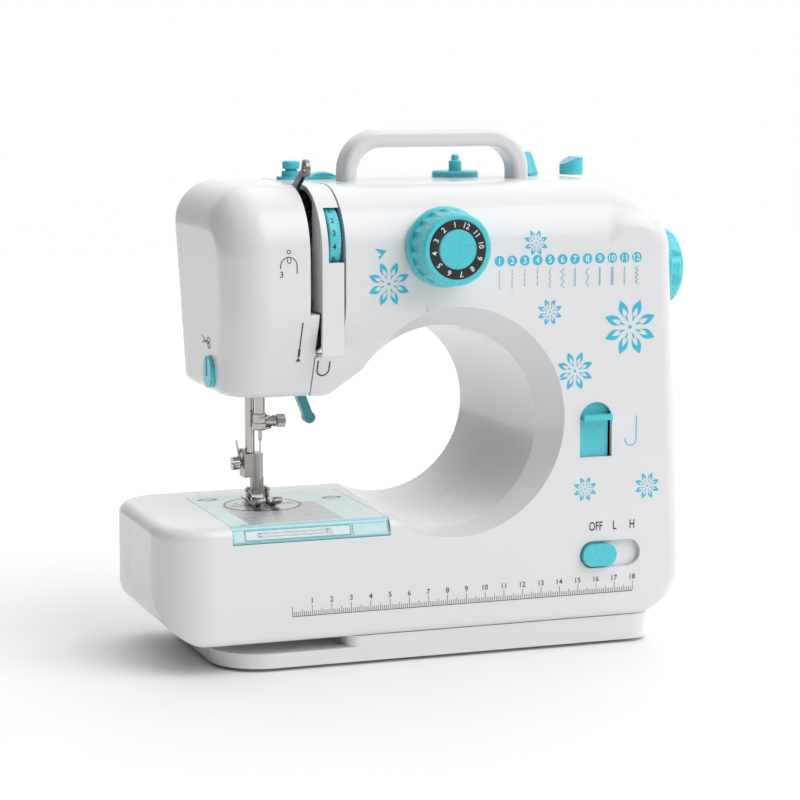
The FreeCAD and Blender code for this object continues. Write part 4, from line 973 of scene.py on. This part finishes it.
class SEWING_OT_stage(Operator):
    """Set up the floor, the lights and the camera"""

    bl_idname = "sewing.stage"
    bl_label = "Stage"
    spot, pitch, yaw, lens = (-0.43772, -1.20805, 0.30085), 82.132, -19.697, 115.79
    front_fade, left_fade = ("Y", -0.4, 0.35, 0.5), ("X", -0.6, 0.15, 0.04)
    overhead_width, overhead_from = 100, (0.1, 0.1, 1)
    front_width, front_from = 50, (0.5, -0.54, 0.68)

    def sky(self, settings):
        """White all round, a little darker in front and darkest at the needle end."""
        world = bpy.data.worlds.new("studio")
        world.use_nodes = True
        nodes, links = world.node_tree.nodes, world.node_tree.links
        back = nodes["Background"]
        back.inputs["Color"].default_value = (1, 1, 1, 1)
        place = nodes.new("ShaderNodeTexCoord")
        apart = nodes.new("ShaderNodeSeparateXYZ")
        links.new(place.outputs["Generated"], apart.inputs["Vector"])
        level = None
        for axis, start, end, dim in (self.front_fade, self.left_fade):
            fade = nodes.new("ShaderNodeMapRange")
            fade.interpolation_type = "SMOOTHSTEP"
            for socket, value in zip(("From Min", "From Max", "To Min", "To Max"), (start, end, dim, 1)):
                fade.inputs[socket].default_value = value
            links.new(apart.outputs[axis], fade.inputs["Value"])
            times = nodes.new("ShaderNodeMath")
            times.operation = "MULTIPLY"
            times.inputs[0].default_value = settings.sky
            if level:
                links.new(level, times.inputs[0])
            links.new(fade.outputs["Result"], times.inputs[1])
            level = times.outputs["Value"]
        links.new(level, back.inputs["Strength"])
        bpy.context.scene.world = world

    def floor(self, settings):
        """The plain pale floor."""
        part = bmesh.new()
        bmesh.ops.create_grid(part, x_segments=1, y_segments=1, size=settings.floor_size / 2)
        mesh = bpy.data.meshes.new("floor")
        part.to_mesh(mesh)
        part.free()
        mesh.materials.append(finish("pale_floor", colours().floor, 0.7, grain=20, tone_change=0.005,
                                     relief=0.0))
        thing = bpy.data.objects.new("floor", mesh)
        bpy.context.scene.collection.objects.link(thing)

    def lamp(self, name, strength, width, spot):
        """An even light from far off, as soft as its width in degrees."""
        data = bpy.data.lights.new(name, "SUN")
        data.energy, data.angle = strength, math.radians(width)
        thing = bpy.data.objects.new(name, data)
        thing.rotation_euler = (-Vector(spot)).to_track_quat("-Z", "Y").to_euler()
        bpy.context.scene.collection.objects.link(thing)

    def execute(self, context):
        settings = context.scene.sewing_stage
        self.floor(settings)
        self.sky(settings)
        self.lamp("overhead_light", settings.overhead, self.overhead_width, self.overhead_from)
        self.lamp("front_light", settings.front, self.front_width, self.front_from)
        data = bpy.data.cameras.new("camera")
        data.lens, data.sensor_width = self.lens, 36
        camera = bpy.data.objects.new("camera", data)
        camera.location = self.spot
        camera.rotation_euler = (math.radians(self.pitch), 0, math.radians(self.yaw))
        context.scene.collection.objects.link(camera)
        context.scene.camera = camera
        context.scene.view_settings.view_transform = "Standard"
        return {"FINISHED"}


STEPS = (SEWING_OT_stage, SEWING_OT_finishes, SEWING_OT_flowers, SEWING_OT_stitch_chart, SEWING_OT_scale,
         SEWING_OT_icons, SEWING_OT_dial_figures, SEWING_OT_cover_details, SEWING_OT_plate_marks,
         SEWING_OT_tension_details, SEWING_OT_switch_slide, SEWING_OT_needle_details, SEWING_OT_presser_foot)


class SEWING_PT_panel(Panel):
    """Lists the steps that make the sewing machine"""

    bl_idname = "SEWING_PT_panel"
    bl_label = "Sewing machine"
    bl_space_type = "VIEW_3D"
    bl_region_type = "UI"
    bl_category = "Sewing machine"

    def draw(self, context):
        for step in STEPS:
            self.layout.operator(step.bl_idname)
        for group in (context.scene.sewing_colours, context.scene.sewing_sizes, context.scene.sewing_stage):
            for name in group.__annotations__:
                self.layout.prop(group, name)


CLASSES = (SewingColours, SewingSizes, SewingStage, *STEPS, SEWING_PT_panel)
GROUPS = {"sewing_colours": SewingColours, "sewing_sizes": SewingSizes, "sewing_stage": SewingStage}


def register():
    """Registers the classes and the settings."""
    for known in CLASSES:
        bpy.utils.register_class(known)
    for name, group in GROUPS.items():
        setattr(bpy.types.Scene, name, PointerProperty(type=group))


def unregister():
    """Removes the settings and the classes."""
    for name in GROUPS:
        delattr(bpy.types.Scene, name)
    for known in reversed(CLASSES):
        bpy.utils.unregister_class(known)


def main():
    """Makes every piece in order."""
    register()
    for step in STEPS:
        group, name = step.bl_idname.split(".")
        getattr(getattr(bpy.ops, group), name)()


if __name__ == "__main__":
    main()
